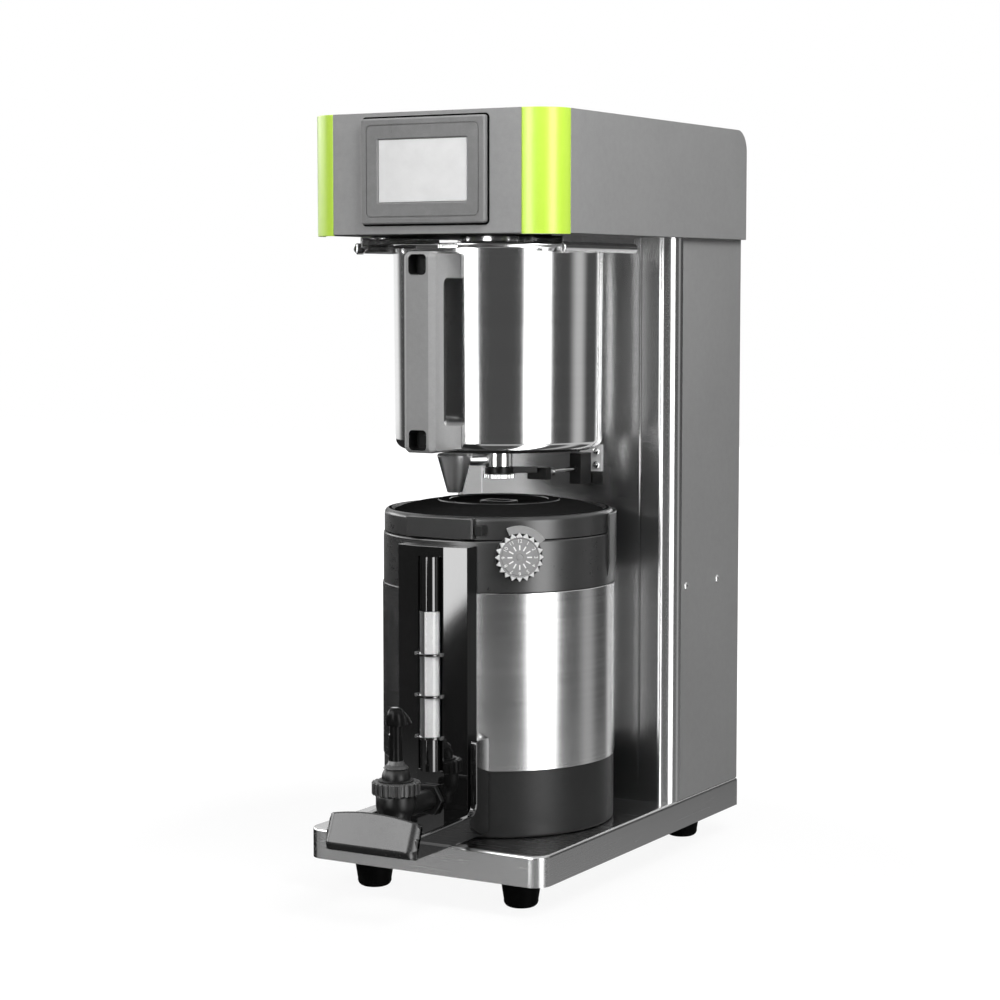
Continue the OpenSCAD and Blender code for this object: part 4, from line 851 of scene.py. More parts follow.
def display():
    low, high = span("display_bezel")
    glass_low, glass_high = span("display_screen")
    cz = (low.z + high.z) / 2
    w, h, depth = high.x - low.x, high.z - low.z, high.y - low.y
    glass_w, glass_h = glass_high.x - glass_low.x, glass_high.z - glass_low.z

    def frame_loop(width, height, r, y):
        return facing(rounded_rect(width, height, r, 0, cz), y)

    def loop(inset, back):
        r = GROOVE_CORNER if inset > BEZEL_EDGE else max(BEZEL_R - inset, 1)
        return frame_loop(w - 2 * inset, h - 2 * inset, r, low.y + back)

    def opening(margin, back):
        return frame_loop(glass_w + 2 * margin, glass_h + 2 * margin, 0.5 + margin, low.y + back)

    near, far = GROOVE_INSET, GROOVE_INSET + BEZEL_GROOVE
    loops = [loop(0, depth)]
    loops += [loop(i, d) for i, d in arc(BEZEL_EDGE, BEZEL_EDGE, BEZEL_EDGE, 180, 270)]
    loops += [loop(near, 0), loop(near, BEZEL_GROOVE), loop(far, BEZEL_GROOVE), loop(far, 0)]
    loops += [opening(SCREEN_LIP, 0), opening(FIT, glass_low.y - low.y), opening(FIT, depth)]
    dress(solid("screen_bezel", *loops, ring=True), "bezel_grey", "machine", "display_bezel")
    # Painted shade: a thin black rubber rim behind the bezel stands for the shadow gap round it.
    rim = [frame_loop(w + 2 * BEZEL_SHADOW_RIM, h + 2 * BEZEL_SHADOW_RIM, BEZEL_R + BEZEL_SHADOW_RIM, high.y - d) for d in (0.1, 0.8)]
    dress(solid("bezel_gasket", *rim), "rubber", "machine", slot="bezel_grey")
    pane = [frame_loop(glass_w - 2 * i, glass_h - 2 * i, 0.6, glass_low.y + d)
            for i, d in ((0, high.y - glass_low.y), (0, SCREEN_EDGE), (SCREEN_EDGE, 0))]
    dress(solid("screen_pane", *pane), "screen_face", "machine", "display_screen", slot="screen")


def rails_and_actuator():
    for side, name in ((-1, "rail_left"), (1, "rail_right")):
        softened(name, "polished_steel", "machine", 0.4)
        low, high = span(name)
        outer = max(abs(low.x), abs(high.x)) - 0.1
        bead = [(side * x, z) for x, z in arc(outer, low.z + BEAD_R + 1, BEAD_R, -90, 90, 12)]
        obj = prism(name + "_bead", facing, bead, low.y + 2, high.y - 2)
        dress(eased(obj, 1.5, 3, 60), "polished_steel", "machine")
    softened("actuator_bracket", "plated_steel", "machine", 0.6, "brushed_steel")
    softened("actuator_box", "black_plastic", "machine", 1.2)
    softened("actuator_pin", "polished_steel", "actuator_pin", 0.5)


# Brew basket

def handle_arms():
    """Heights of the middles of the handle's two arms."""
    low, high = span("basket_handle")
    return low.z + HANDLE_ARM / 2, high.z - HANDLE_ARM / 2


def basket_pot():
    low, high = span("basket_pot")
    z0, z1 = low.z, high.z
    rim_z = z1 - POT_RIM_T
    roll = POT_RIM_T / 2
    low_x, low_z = POT_LOW_R - POT_EDGE_R, z0 + POT_EDGE_R
    profile = [(0, z0)] + arc(low_x, low_z, POT_EDGE_R, -90, 0, 10)
    profile += arc(POT_TOP_R + POT_FILLET, rim_z - POT_FILLET, POT_FILLET, 180, 90, 5)
    profile += arc(high.x - roll, rim_z + roll, roll, -90, 90, 6)
    profile += [(POT_TOP_R, z1), (POT_TOP_R - POT_WALL, z1 - 1)]
    profile += arc(low_x, low_z, POT_EDGE_R - POT_WALL, 0, -90, 10) + [(0, z0 + POT_WALL)]
    bm = bmesh.new()
    lathe(bm, profile, brew_axis, WIDE_STEPS)
    for z in handle_arms():
        boss = [(0, 0), (BOSS_R - 0.5, 0), (BOSS_R, 0.5), (BOSS_R, BOSS_L), (0, BOSS_L)]
        lathe(bm, boss, along_y(0, brew_y - POT_TOP_R - BOSS_OUT, z), 24)
    grip_back, wall = span("basket_handle")[0].y + HANDLE_GRIP, brew_y - POT_TOP_R + 1.5
    tab = filleted([(-TAB_HALF, grip_back, TAB_R), (TAB_HALF, grip_back, TAB_R),
                    (TAB_HALF, wall), (-TAB_HALF, wall)])
    skin(bm, [level(tab, rim_z - TAB_T), level(tab, rim_z)])
    dress(shaped("brew_pot", bm), "pot_steel", "basket", "basket_pot", slot="polished_steel", sharp=40)
    paint("filter_plate", "brushed_steel")
    # Painted shade: the screws down in the handle's pockets are painted black plastic.
    paint("handle_screws", "black_plastic")


def basket_handle():
    low, high = span("basket_handle")
    half = high.x
    inside, back = brew_y - POT_LOW_R + 6, low.y + HANDLE_GRIP
    arm_low, arm_high = low.z + HANDLE_ARM, high.z - HANDLE_ARM

    def side(setback, x):
        front = low.y + setback
        taper = HANDLE_TAPER * setback
        corner, z0, z1 = HANDLE_CORNER - taper, low.z + taper, high.z - taper
        return sideways(filleted([
            (front, z0, corner), (inside, z0), (inside, arm_low), (back, arm_low, HANDLE_GAP_R),
            (back, arm_high, HANDLE_GAP_R), (inside, arm_high), (inside, z1), (front, z1, corner)]), x)

    obj = solid("basket_grip", side(HANDLE_CHAMFER, -half), side(0, -half + HANDLE_CHAMFER),
                side(0, half - HANDLE_CHAMFER), side(HANDLE_CHAMFER, half))
    z0, z1 = low.z - PAST, high.z + PAST
    cone = [(0, z0), (POT_LOW_R + FIT, z0), (POT_TOP_R + FIT + 0.1, z1), (0, z1)]
    cut(obj, turned("pot_room", cone, brew_axis, 128))
    for z in handle_arms():
        pocket = rounded_rect(POCKET, POCKET, POCKET_R, 0, z)
        cut(obj, prism("pocket", facing, pocket, low.y - 1, low.y + POCKET_D))
        boss = along_y(0, brew_y - POT_TOP_R - BOSS_OUT - 0.5, z)
        cut(obj, turned("boss_room", plug(BOSS_R + FIT, 0, 40), boss, 24))
    dress(eased(obj, 0.9, 2), "handle_grey", "basket", "basket_handle")
    reach = POCKET / 2 + 0.2

    # Painted shade: faces in the two pockets get black plastic, and faces turned towards the pot get the
    # darker collar black for the shade on the grip's back.
    def choose(face):
        c = face.center / MM
        inner = min(abs(c.z - z) for z in handle_arms()) < reach
        if inner and abs(c.x) < reach and 1.2 < c.y - low.y < POCKET_D + 1:
            return 1
        return 2 if face.normal.y > 0.5 else 0

    refinish(obj, ("black_plastic", "collar_black"), choose)


def drain_valve():
    low, high = span("valve_body")
    pot_z = span("basket_pot")[0].z
    lever_z = span("valve_lever")[1].z
    ring_z, seat_z = low.z + VALVE_RING_H, lever_z + 0.2
    profile = tube(VALVE_BORE, VALVE_R, low.z, ring_z, VALVE_EDGE)[:-1]
    profile += [(VALVE_STEM_R, ring_z), (VALVE_STEM_R, seat_z), (VALVE_R - 1, seat_z), (VALVE_R, seat_z + 1),
                (VALVE_R, pot_z - 5), (VALVE_R - 2, pot_z - 4), (VALVE_R - 2, pot_z), (VALVE_NECK_R, pot_z),
                (VALVE_NECK_R, high.z), (VALVE_BORE, high.z)]
    valve = turned("drain_valve_body", profile, brew_axis, 64)
    dress(valve, "polished_steel", "basket", "valve_body")
    rib = rod_shape(VALVE_RIB_R, low.z, ring_z)
    ring("drain_valve_ribs", rib, VALVE_RIBS, VALVE_R, brew_axis, "polished_steel", "basket")

    low, high = span("pour_spout")
    reach = low.x + SPOUT_TOP_R
    z0, z1, edge_z = low.z, high.z, high.z - SPOUT_EDGE
    cone = [(SPOUT_LOW_R - 2, z0), (SPOUT_LOW_R - 0.4, z0), (SPOUT_LOW_R, z0 + 0.6),
            (SPOUT_TOP_R - 0.5, edge_z)]
    cone += arc(SPOUT_TOP_R - SPOUT_EDGE, edge_z, SPOUT_EDGE, 10, 90, 5)
    cone += [(0, z1), (0, edge_z), (SPOUT_TOP_R - 4, z1 - 4)]
    bm = bmesh.new()
    lathe(bm, cone, at(reach, brew_y + reach), 64)
    start, end = VALVE_R - 0.8, sqrt(2) * abs(reach)
    pipe = [(SPOUT_ARM_BORE, start), (SPOUT_ARM_R, start), (SPOUT_ARM_R, end), (SPOUT_ARM_BORE, end)]
    aim = Matrix.Rotation(radians(225), 4, "Z") @ along_x(0, 0, 0)
    lathe(bm, pipe, at(0, brew_y, lever_z + SPOUT_ARM_RISE) @ aim, 32)
    dress(shaped("pour_cone", bm), "spout_steel", "basket", "pour_spout", slot="polished_steel")
    softened("valve_lever", "black_plastic", "valve_lever", 1.0)


# Server

def server_shell():
    low, high = span("server_base")
    r, wall = high.x, high.x - 2 * SERVER_WALL
    floor_z = low.z + SERVER_WALL
    profile = [(0, low.z)] + arc(r - 3, low.z + 3, 3, -90, 0) + arc(r - 1, high.z - 1, 1, 0, 90, 3)
    profile += [(wall, high.z), (wall, floor_z), (0, floor_z)]
    foot = turned("server_foot", profile, brew_axis, WIDE_STEPS)
    dress(foot, "foot_black", "server", "server_base", slot="black_plastic")

    low, high = span("server_band")
    band_z = high.z
    sleeve = tube(high.x - SHEET, high.x, low.z, band_z, 0.4)
    jacket = turned("server_jacket", sleeve, brew_axis, WIDE_STEPS)
    dress(jacket, "brushed_steel", "server", "server_band")

    ear_z = span("server_collar")[1].z
    lid_low, lid_high = span("server_lid")
    r = lid_high.x + 1
    top = lid_low.z + LID_PLUG
    liner_r = span("server_liner")[1].x + FIT
    step, ledge = liner_r - LID_PLUG, top - LID_PLUG - SHEET
    profile = [(step, band_z), (r - 0.8, band_z), (r, band_z + 0.8)] + arc(r - 2, top - 2, 2, 0, 90, 4)
    profile += [(liner_r, top), (liner_r, ledge), (step, ledge)]
    ear = [(r - 0.5, band_z + 4), (EAR_R, band_z + 22)]
    ear += arc(EAR_R - EAR_EDGE, ear_z - EAR_EDGE, EAR_EDGE, 0, 90, 4)
    ear += [(r - 0.2, ear_z), (r - 0.2, top), (r - 0.5, top)]
    bm = bmesh.new()
    lathe(bm, profile, brew_axis, WIDE_STEPS)
    lathe(bm, ear, brew_axis, 96, EAR_ANGLE, 180 - 2 * EAR_ANGLE)
    dress(shaped("server_shoulder", bm), "collar_black", "server", "server_collar", slot="black_plastic")
    paint("server_liner", "polished_steel")


def server_lid():
    low, high = span("server_lid")
    r, front = high.x, low.y
    bottom, top = low.z + LID_PLUG, high.z - DOME_H
    lip, sink = r - LID_LIP, high.z - DOME_SINK
    deck, deck_z = lip - 9, top + 0.8
    slope, rise = deck - DOME_R - 5, DOME_H - 2.8
    ring_in = DOME_R - DOME_RING
    profile = [(0, low.z), (LID_PLUG_R, low.z), (LID_PLUG_R, bottom), (r - 1, bottom), (r, bottom + 1)]
    profile += arc(r - LID_EDGE_R, top - LID_EDGE_R, LID_EDGE_R, 0, 90, 8)
    profile += [(lip + 1, top), (lip, top - 0.6), (lip - LID_GROOVE, top - LID_GROOVE),
                (lip - 5, top - LID_GROOVE), (lip - 7, top), (deck, deck_z)]
    profile += [(deck - slope * k / DOME_STEPS, deck_z + rise * sin(pi * k / (2 * DOME_STEPS)))
                for k in range(1, DOME_STEPS + 1)]
    profile += arc(DOME_R - 1.5, high.z - 1.5, 1.5, 20, 90, 4) + arc(ring_in + 1, high.z - 1, 1, 90, 160, 3)
    profile += [(ring_in - 3, sink), (0, sink)]
    obj = turned("server_cover", profile, brew_axis, WIDE_STEPS)
    well = rounded_rect(FILL_L, FILL_W, FILL_R, 0, brew_y)
    cut(obj, prism("well", level, well, low.z - 1, high.z + 1))
    dress(obj, "lid_black", "server", "server_lid", slot="black_plastic")

    def choose(face):
        wall = abs(face.normal.z) < 0.6 and face.center.z / MM < top
        out = (face.center / MM - Vector((0, brew_y, 0))).xy.length
        edge = min(abs(out - x) for x in (DOME_R - 0.7, ring_in + 0.7, lip, r - 2)) < 1.6
        return int(wall or edge and 0.2 < face.normal.z < 0.97)

    refinish(obj, ("collar_black",), choose)
    rim = ((0, -1), (FILL_RIM, -1), (FILL_RIM, 1.4), (FILL_RIM - 0.8, 2.2), (0.8, 2.2), (0, 1.4))
    loops = [level(rounded_rect(FILL_L + 2 * w, FILL_W + 2 * w, FILL_R + w, 0, brew_y), sink + h)
             for w, h in rim]
    dress(solid("fill_rim", *loops, ring=True), "black_plastic", "server")
    root = front + LATCH_D
    plan = filleted([(-LATCH_HALF, front, 1.5), (LATCH_HALF, front, 1.5),
                     (LATCH_HALF - 2, root), (-LATCH_HALF + 2, root)])
    latch = eased(prism("lid_latch", level, plan, bottom + 1.5, top - 1.5), 0.9)
    dress(latch, "collar_black", "server", slot="black_plastic")
    knob = rounded_rect(9, 10, 2, LATCH_HALF + 5, bottom + 10)
    tab = eased(prism("latch_tab", facing, knob, front + 2, root + 1), 0.8)
    dress(tab, "black_plastic", "server")


def sight_gauge():
    low, high = span("gauge_housing")
    glass_low, glass_high = span("gauge_glass")
    front, half = middle("gauge_glass").y, high.x
    axis = at(0, front)
    root, lip = brew_y - CASE_ROOT, GROOVE_R + 1.5
    plan = [(-half, root), (-half, front + CASE_LEAN), (-lip, front),
            (lip, front), (half, front + CASE_LEAN), (half, root)]
    obj = cut(prism("gauge_case", level, plan, low.z, high.z), server_room(low.z, high.z))
    z0, z1 = glass_low.z - SOCKET_LOW, glass_high.z + SOCKET_TOP
    cut(obj, turned("groove", plug(GROOVE_R, z0, z1), axis, 64))
    cut(obj, turned("shank_room", plug(SHANK_R + 0.2, 0, 90), along_y(0, front - 5, shank_z), 48))
    dress(eased(obj, 1.2, 3), "gloss_black", "server", "gauge_housing", sharp=8)
    refinish(obj, ("wall_black",), lambda face: int(abs(face.normal.x) > 0.5))

    bm = bmesh.new()
    for low_z, high_z in ((z0 - 0.5, glass_low.z - 0.2), (glass_high.z + 0.2, z1 + 0.5)):
        lathe(bm, plug(CAP_R, low_z, high_z), axis, 48)
    dress(shaped("gauge_caps", bm), "gloss_black", "server")
    r = (glass_high.x - glass_low.x) / 2
    bore = r - GLASS_WALL
    z0, z1 = glass_low.z, glass_high.z
    pipe = turned("sight_tube", tube(bore, r, z0, z1, 0.3), axis, 64)
    dress(pipe, "sight_glass", "server", "gauge_glass")
    core = plug(bore - 0.4, z0 + 0.2, z1 - 0.2)
    # The white core is the gauge's backing. The grey strip on its left is painted shade for the tube's darker
    # left side.
    for name, look, start, sweep in (("sight_core", "gauge_white", -92, 290),
                                     ("sight_backing", "valve_grey", -160, 64)):
        dress(turned(name, core, axis, 48, start, sweep), look, "server", slot="sight_glass")

    low, high = span("gauge_rings")
    hoops, lugs = bmesh.new(), bmesh.new()
    for i in range(HOOPS):
        z = low.z + i * (high.z - low.z - HOOP_H) / (HOOPS - 1)
        lathe(hoops, tube(r + 0.2, high.x, z, z + HOOP_H, 0.4), axis, 48)
        for side in (-1, 1):
            lug = rounded_rect(3.6, 5, 1.2, side * (high.x + 0.6), front - 2)
            skin(lugs, [level(lug, z - 0.3), level(lug, z + HOOP_H + 0.3)])
    dress(shaped("gauge_hoops", hoops), "gloss_black", "server", "gauge_rings", slot="black_plastic")
    # Painted highlight: the lugs are a lighter grey than the black hoops, for the glints on their ends.
    dress(eased(shaped("hoop_lugs", lugs), 0.5, 2), "valve_grey", "server", slot="black_plastic")


def faucet():
    nut_low, nut_high = span("faucet_nut")
    body_low, body_high = span("faucet_body")
    y = middle("faucet_nut").y
    place = at(0, y)
    z0, z1, lip_z = body_low.z, nut_low.z, nut_high.z
    pivot_z = span("faucet_lever")[0].z + LEVER_HUB
    reach = body_high.y - y
    bowl = [(FAUCET_BORE, z0), (12, z0), (13, z0 + 1), (13.5, z0 + 6), (16, z0 + 10), (18.2, z0 + 15),
            (18.8, z0 + 20), (18.8, z1 - 2), (17.5, z1), (FAUCET_BORE, z1)]
    lip = [(BONNET_R + 0.1, lip_z), (16, lip_z), (16.6, lip_z + 0.8), (15.4, lip_z + 1.8),
           (BONNET_R + 0.1, lip_z + 1.8)]
    shank = [(FAUCET_BORE, SHANK_START), (SHANK_R, SHANK_START), (SHANK_R, reach), (FAUCET_BORE, reach)]
    flange = [(9, 0), (15, 0), (16, 1), (16, 5), (9, 5)]
    bm = bmesh.new()
    lathe(bm, bowl, place, 64)
    lathe(bm, lip, place, 48)
    lathe(bm, shank, along_y(0, y, shank_z), 48)
    lathe(bm, flange, along_y(0, middle("gauge_glass").y - 6, shank_z), 6)
    dress(shaped("faucet_bowl", bm), "black_plastic", "server", "faucet_body", sharp=40)

    dome = bow(BONNET_R, pivot_z, range(98, 9, -8))
    profile = [(0, z1 + 1), (BONNET_R, z1 + 1)] + dome + [(0, pivot_z + BONNET_R)]
    bonnet = turned("faucet_bonnet", profile, place, 48)
    half = LEVER_BLADE / 2 + 0.2
    cut(bonnet, turned("hub_room", plug(BONNET_R - 2.5, -half, half), along_x(0, y, pivot_z), 32))
    slot = [(-half, y - 9.6), (half, y - 9.6), (half, y + LEVER_HUB), (-half, y + LEVER_HUB)]
    cut(bonnet, prism("lever_slot", level, slot, pivot_z + 5, pivot_z + 30))
    dress(bonnet, "black_plastic", "server", sharp=40)

    r = nut_high.x - NUT_RIB_R
    core = [(BONNET_R + 0.2, z1), (r - NUT_BEVEL, z1), (r, z1 + NUT_BEVEL), (r, lip_z - NUT_BEVEL),
            (r - NUT_BEVEL, lip_z), (BONNET_R + 0.2, lip_z)]
    nut = turned("faucet_nut_core", core, place)
    dress(nut, "nut_black", "server", "faucet_nut", slot="black_plastic")
    rib = bmesh.new()
    plan = rounded_rect(2 * NUT_RIB_R, 1.6 * NUT_RIB_R, 0.5)
    skin(rib, [level([(x * k, y * k) for x, y in plan], z) for k, z in (
        (0.7, z1 + 0.4), (1, z1 + 1.2), (1, lip_z - 1.2), (0.7, lip_z - 0.4))])
    ring("faucet_nut_ribs", rib, NUT_RIBS, r, place, "nut_black", "server", "black_plastic")
    faucet_lever(y, pivot_z)


def faucet_lever(y, pivot_z):
    """Hub, blade, a skirt that covers the bonnet's slot at every tilt, neck and hood."""
    half = LEVER_BLADE / 2
    hood_z = span("faucet_lever")[1].z - HOOD_H
    top = pivot_z + SKIRT_R
    place = at(0, y)
    blade = filleted([(y - 5.5, pivot_z - 5, 4), (y + 5.5, pivot_z - 5, 4), (y + half, top), (y - half, top)])
    bm = bmesh.new()
    skin(bm, [sideways(blade, -half), sideways(blade, half)])
    skirt = bow(BONNET_R + SKIRT_GAP, pivot_z, range(0, SKIRT_ANGLE + 1, 4))
    skirt += bow(SKIRT_R, pivot_z, range(SKIRT_ANGLE, 31, -4)) + [(6.8, top + 1), (0, top + 1)]
    lathe(bm, skirt, place, LEVER_STEPS)
    dress(shaped("faucet_skirt", bm), "nut_black", "faucet_lever", slot="black_plastic", sharp=45)

    neck = [(0, top), (6.6, top), (6, pivot_z + 20), (5.8, pivot_z + 28), (5.6, pivot_z + 36),
            (5.8, hood_z + 3), (0, hood_z + 3)]
    pin = BONNET_R - 3.5
    bm = bmesh.new()
    lathe(bm, neck, place, LEVER_STEPS)
    lathe(bm, plug(PIN_R, -pin, pin), along_x(0, y, pivot_z), 24)
    turns = [2 * pi * k / LEVER_STEPS for k in range(LEVER_STEPS)]
    loops = []
    for i in range(HOOD_LEVELS + 1):
        t = i / HOOD_LEVELS
        w = HOOD_R * sqrt(max(1 - (t * 0.94) ** 3, 0.02))
        back = 1 + 1.6 * (1 - t)
        loops.append([(w * cos(a), y + w * sin(a) * (back if sin(a) > 0 else 1) - 1 + 2 * (1 - t),
                       hood_z + HOOD_H * t) for a in turns])
    skin(bm, loops)
    obj = eased(shaped("faucet_handle", bm), 0.6, 2, 50)
    dress(obj, "lever_black", "faucet_lever", "faucet_lever", slot="black_plastic", sharp=45)


def faucet_guard():
    low, high = span("faucet_guard")
    half = high.x
    front, z0 = low.y, low.z
    loops = []
    for i in range(GUARD_COLUMNS + 1):
        x = -half + 2 * half * i / GUARD_COLUMNS
        edge = max(abs(x) - (half - GUARD_CORNER), 0)
        tuck = GUARD_CORNER - sqrt(GUARD_CORNER ** 2 - edge * edge)
        top = z0 + GUARD_H - GUARD_CROWN * (x / half) ** 2
        section = filleted([
            (front + tuck + 3, z0, 3), (front + tuck, z0 + 7, 4),
            (front + tuck * 0.5 + GUARD_LEAN, top, 2.2), (front + GUARD_LEAN + 5, top - 3, 2),
            (front + GUARD_T, z0 + 6, 3), (front + GUARD_T, z0, 1.5)], 4)
        loops.append(sideways(section, x))
    plate = eased(solid("guard_plate", *loops), 1.0, 2, 50)
    dress(plate, "shell_black", "server", "faucet_guard", slot="black_plastic", sharp=50)
    start, back = front + 8, brew_y - GUARD_ARM_ROOT
    upright, arm_z = brew_y - server_r - GUARD_UPRIGHT / 2, z0 + GUARD_ARM_H
    profile = filleted([(start, z0, 2), (back, z0), (back, high.z), (upright, high.z, 4),
                        (upright, arm_z, 10), (start, arm_z - 3, 2)])
    for side, name in ((-1, "guard_arm_left"), (1, "guard_arm_right")):
        arm = prism(name, sideways, profile, side * (half - GUARD_ARM_T), side * half)
        cut(arm, server_room(z0, high.z))
        dress(eased(arm, 1.2, 3), "gloss_black", "server", slot="black_plastic")


def reminder_dial():
    disc_z = middle("dial_disc").z
    r = span("dial_disc")[1].z - disc_z
    seat = span("server_lid")[1].x + DIAL_SEAT
    turn = Matrix.Rotation(radians(DIAL_ANGLE), 4, "Z") @ Matrix.Rotation(radians(90), 4, "X")
    place = at(0, brew_y, disc_z) @ turn
    plate_r, plate = r - 1, seat + DIAL_PLATE_T
    profile = [(0, seat), (plate_r, seat), (plate_r, plate - 0.4), (plate_r - 0.4, plate), (0, plate)]
    # Painted shade: the back plate is black so that the gaps between the teeth read as shadow.
    back = turned("dial_back", profile, place, 64)
    dress(back, "black_plastic", "server", "dial_plate")
    axle = [(0, seat), (DIAL_AXLE_R, seat), (DIAL_AXLE_R, seat + 5), (DIAL_AXLE_R - 0.6, seat + 5.3),
            (0, seat + 5.3)]
    tag_r, tag_z = r + TAG_OUT, seat + TAG_T
    tag = [(plate_r, seat), (tag_r, seat), (tag_r, tag_z - 0.4), (tag_r - 0.4, tag_z), (plate_r, tag_z)]
    bm = bmesh.new()
    lathe(bm, axle, place, 32)
    lathe(bm, tag, place, 32, *TAG_ARC)
    dress(shaped("dial_tag", bm), "dial_silver", "server", slot="black_plastic")

    face = plate + DIAL_GAP
    top = face + DIAL_T
    root = r - TOOTH_H
    bore = DIAL_AXLE_R + 0.1
    disc = [(bore, face), (root, face), (root, top - 0.4), (root - 0.5, top), (root - 1.2, top),
            (root - 1.7, top - 0.6), (root - 2.4, top - 0.6), (root - 2.9, top), (bore + 0.5, top),
            (bore, top - 0.4)]
    dress(turned("dial_face", disc, place), "dial_silver", "dial", "dial_disc", slot="dial_clear")
    tooth, tick, numbers = bmesh.new(), bmesh.new(), bmesh.new()
    wide, point = pi * root / DIAL_TEETH, TOOTH_H - 0.2
    plan = filleted([(-0.6, -wide), (point, -0.2, 0.8), (point, 0.2, 0.8), (-0.6, wide)], 4)
    crest = [(x - 0.25, y * 0.8) for x, y in plan]
    skin(tooth, [level(plan, face), level(plan, top - 0.5), level(crest, top)])
    # The teeth are painted light as painted highlight.
    ring("dial_teeth", tooth, DIAL_TEETH, root, place, "dial_teeth_painted_highlight", "dial", "dial_clear")
    mark = rounded_rect(4.8, 1.3, 0.4)
    skin(tick, [level(mark, top - 0.05), level(mark, top + 0.12)])
    ring("dial_ticks", tick, DIAL_HOURS, r * 0.4, place, "dial_white", "dial", "dial_clear")
    for hour in range(1, DIAL_HOURS + 1):
        words = bpy.data.curves.new("hour", "FONT")
        words.body = str(hour)
        words.size = HOUR_SIZE
        words.extrude = HOUR_DEPTH
        words.align_x = words.align_y = "CENTER"
        text = placed("hour", words)
        mesh = bpy.data.meshes.new_from_object(text.evaluated_get(bpy.context.evaluated_depsgraph_get()))
        spin = Matrix.Rotation(radians(-360 * hour / DIAL_HOURS), 4, "Z")
        mesh.transform(place @ spin @ at(0, r * 0.66, top + 0.06))
        numbers.from_mesh(mesh)
        bpy.data.objects.remove(text)
    dress(shaped("dial_numbers", numbers), "dial_white", "dial", slot="dial_clear")


# Studio

# panels in the steel: from and to in degrees round the object with 0 in front, tone, width of the soft edge
PANELS = ((-150, -120, 0.9, 15), (-10, 1, 8.0, 8), (68, 78, 7.0, 14), (126, 130, 0.5, 14), (168, 171, 0.8, 6))
DARK = 0.07
CEILING = 0.9
UNDER = 0.55
SOFTBOX = 7.0
SIDE_PANEL = 5.0
LOW_DARK = 0.02
AMBIENT = 0.06

# where they are: turns in radians and heights of the ray, each where it rises, is full, falls and is gone
CEILING_RISE = (0.30, 0.46)
UNDER_HEIGHT = (-0.42, -0.36, -0.24, -0.18)
SOFTBOX_ZONE = (-1.2, -1.0, 0.0, 0.15), (0.22, 0.30, 0.65, 0.75)
SIDE_ZONE = (-2.05, -1.95, -1.2, -1.1), (0.06, 0.08, 0.3, 0.4)
BEHIND_ZONE = (-3.0, -2.9, -2.2, -2.1), (0.02, 0.04, 0.15, 0.19)
LEFT_TURN = (-2.8, -2.7, -1.3, -1.2)
LEFT_FALL = (-0.1, -0.06)
FRONT_TURN = (-0.34, -0.3, 0.13, 0.15)
FRONT_LOW = 0.11
FRONT_SLANT = 0.028
FRONT_FALL = (-0.002, 0.002)

# name, place, aim, size and watts, in metres
LAMPS = (
    ("key", (0.95, -0.5, 1.4), (0.1, 0, 0.6), 0.7, 18),
    ("front", (0.1, -2.2, 1.2), (0, 0, 0.5), 1.2, 18),
    ("fill", (-2.3, -0.35, 1.2), (0, 0, 0.4), 1.4, 22),
    ("back", (-0.2, 2.4, 1.2), (0, 0, 0.4), 1.4, 22),
    ("top", (0.2, 0.2, 2.8), (0, 0, 0.4), 1.8, 8),
)
FLOOR_HALF = 6000
FLOOR_TONE = 0.4
FLOOR_GLOW = 1.25
SHADOW_REACH = (0.4, 1.2)
GLOW_SHARE = (0.72, 1.0)
LENS = 87.79
CAMERA_PLACE = (1.19296, -2.09379, 0.58071)
CAMERA_TURN = (85.0, 0, 30.026)


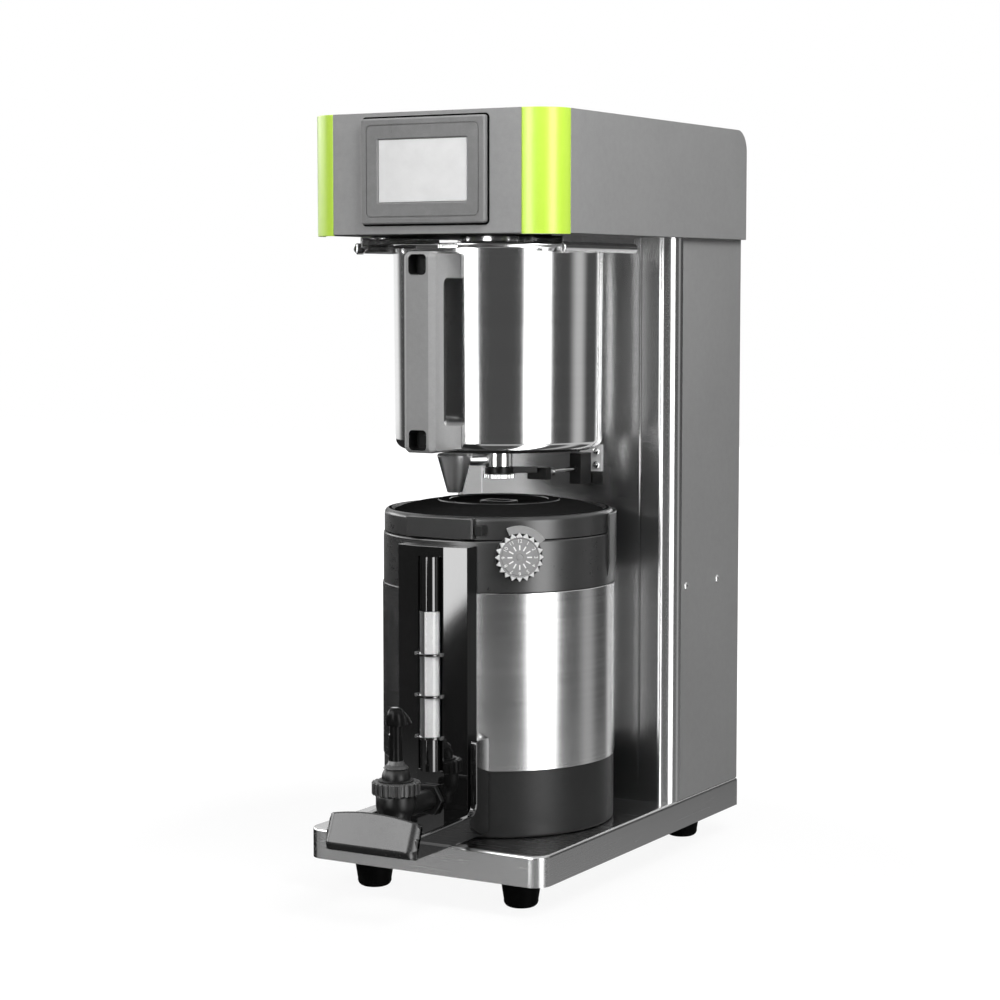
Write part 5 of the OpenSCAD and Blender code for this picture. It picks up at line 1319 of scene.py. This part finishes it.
def studio_world():
    """White to the camera; reflections see light and dark panels round the object."""
    world = bpy.data.worlds.new("studio")
    bpy.context.scene.world = world
    world.use_nodes = True
    tree = world.node_tree
    tree.nodes.clear()
    way = node(tree, "ShaderNodeSeparateXYZ", {0: node(tree, "ShaderNodeTexCoord").outputs["Generated"]})
    x, y, z = way.outputs
    turn = maths(tree, "ARCTAN2", x, times(tree, y, -1.0))

    def zone(turns, heights):
        return times(tree, window(tree, turn, *turns), window(tree, z, *heights))

    panels = node(tree, "ShaderNodeValToRGB", {0: ramp(tree, turn, -pi, pi)})
    panels.color_ramp.interpolation = "EASE"
    stops = panels.color_ramp.elements
    stops[0].position, stops[1].position = 0.0, 1.0
    stops[0].color = stops[1].color = grey(DARK)
    for start, end, tone, soft in PANELS:
        for angle, shade in ((start - soft, DARK), (start, tone), (end, tone), (end + soft, DARK)):
            stops.new((angle + 180) / 360).color = grey(shade)
    seen = blended(tree, ramp(tree, z, *CEILING_RISE), panels.outputs[0], CEILING)
    seen = blended(tree, window(tree, z, *UNDER_HEIGHT), seen, UNDER)
    seen = blended(tree, zone(*SOFTBOX_ZONE), seen, SOFTBOX)
    seen = blended(tree, zone(*SIDE_ZONE), seen, SIDE_PANEL)
    left = times(tree, window(tree, turn, *LEFT_TURN), ramp(tree, z, *LEFT_FALL, 1.0, 0.0))
    slant = maths(tree, "SUBTRACT", maths(tree, "SUBTRACT", z, turn), FRONT_SLANT)
    lit = maths(tree, "MAXIMUM", maths(tree, "ADD", z, FRONT_LOW), slant)
    front = times(tree, window(tree, turn, *FRONT_TURN), ramp(tree, lit, *FRONT_FALL, 1.0, 0.0))
    dark = maths(tree, "MAXIMUM", maths(tree, "MAXIMUM", left, front), zone(*BEHIND_ZONE))
    seen = blended(tree, dark, seen, LOW_DARK)
    path = node(tree, "ShaderNodeLightPath").outputs
    shiny = blended(tree, path["Is Glossy Ray"], AMBIENT, seen)
    clear = maths(tree, "MAXIMUM", path["Is Camera Ray"], path["Is Transmission Ray"])
    sky = node(tree, "ShaderNodeBackground", {"Color": blended(tree, clear, shiny, 1.0)})
    node(tree, "ShaderNodeOutputWorld", {"Surface": sky.outputs[0]})


def lamp(name, place, aim, size, watts):
    data = bpy.data.lights.new(name, "AREA")
    data.energy = watts
    data.size = size
    obj = placed(name, data)
    obj.location = place
    obj.rotation_euler = (Vector(aim) - Vector(place)).to_track_quat("-Z", "Y").to_euler()
    obj.visible_glossy = False


def studio_floor():
    """A pale floor that is white to the camera apart from the object's shadow."""
    bm = bmesh.new()
    bmesh.ops.create_grid(bm, x_segments=1, y_segments=1, size=FLOOR_HALF)
    floor = shaped("studio_floor", bm)
    material = bpy.data.materials.new("studio_floor")
    material.use_nodes = True
    tree = material.node_tree
    tree.nodes.clear()
    matt = node(tree, "ShaderNodeBsdfDiffuse", {"Color": grey(FLOOR_TONE)})
    glow = node(tree, "ShaderNodeEmission", {"Color": grey(1.0), "Strength": FLOOR_GLOW})
    path = node(tree, "ShaderNodeLightPath").outputs
    where = node(tree, "ShaderNodeTexCoord").outputs["Object"]
    reach = node(tree, "ShaderNodeVectorMath", {0: where}, operation="LENGTH").outputs["Value"]
    share = times(tree, path["Is Camera Ray"], ramp(tree, reach, *SHADOW_REACH, *GLOW_SHARE))
    both = node(tree, "ShaderNodeMixShader", {0: share, 1: matt.outputs[0], 2: glow.outputs[0]})
    node(tree, "ShaderNodeOutputMaterial", {"Surface": both.outputs[0]})
    floor.data.materials.append(material)
    floor.visible_glossy = False


def studio():
    studio_world()
    studio_floor()
    for settings in LAMPS:
        lamp(*settings)
    data = bpy.data.cameras.new("camera")
    data.lens = LENS
    camera = placed("camera", data)
    camera.location = CAMERA_PLACE
    camera.rotation_euler = [radians(a) for a in CAMERA_TURN]
    bpy.context.scene.camera = camera
    bpy.context.scene.view_settings.view_transform = "Standard"


studio()
base_tray()
paint("base_plate", "brushed_steel")
feet()
column()
rear_fittings()
head()
rails_and_actuator()
machine_screws()
basket_pot()
basket_handle()
drain_valve()
server_shell()
server_lid()
sight_gauge()
faucet()
faucet_guard()
reminder_dial()
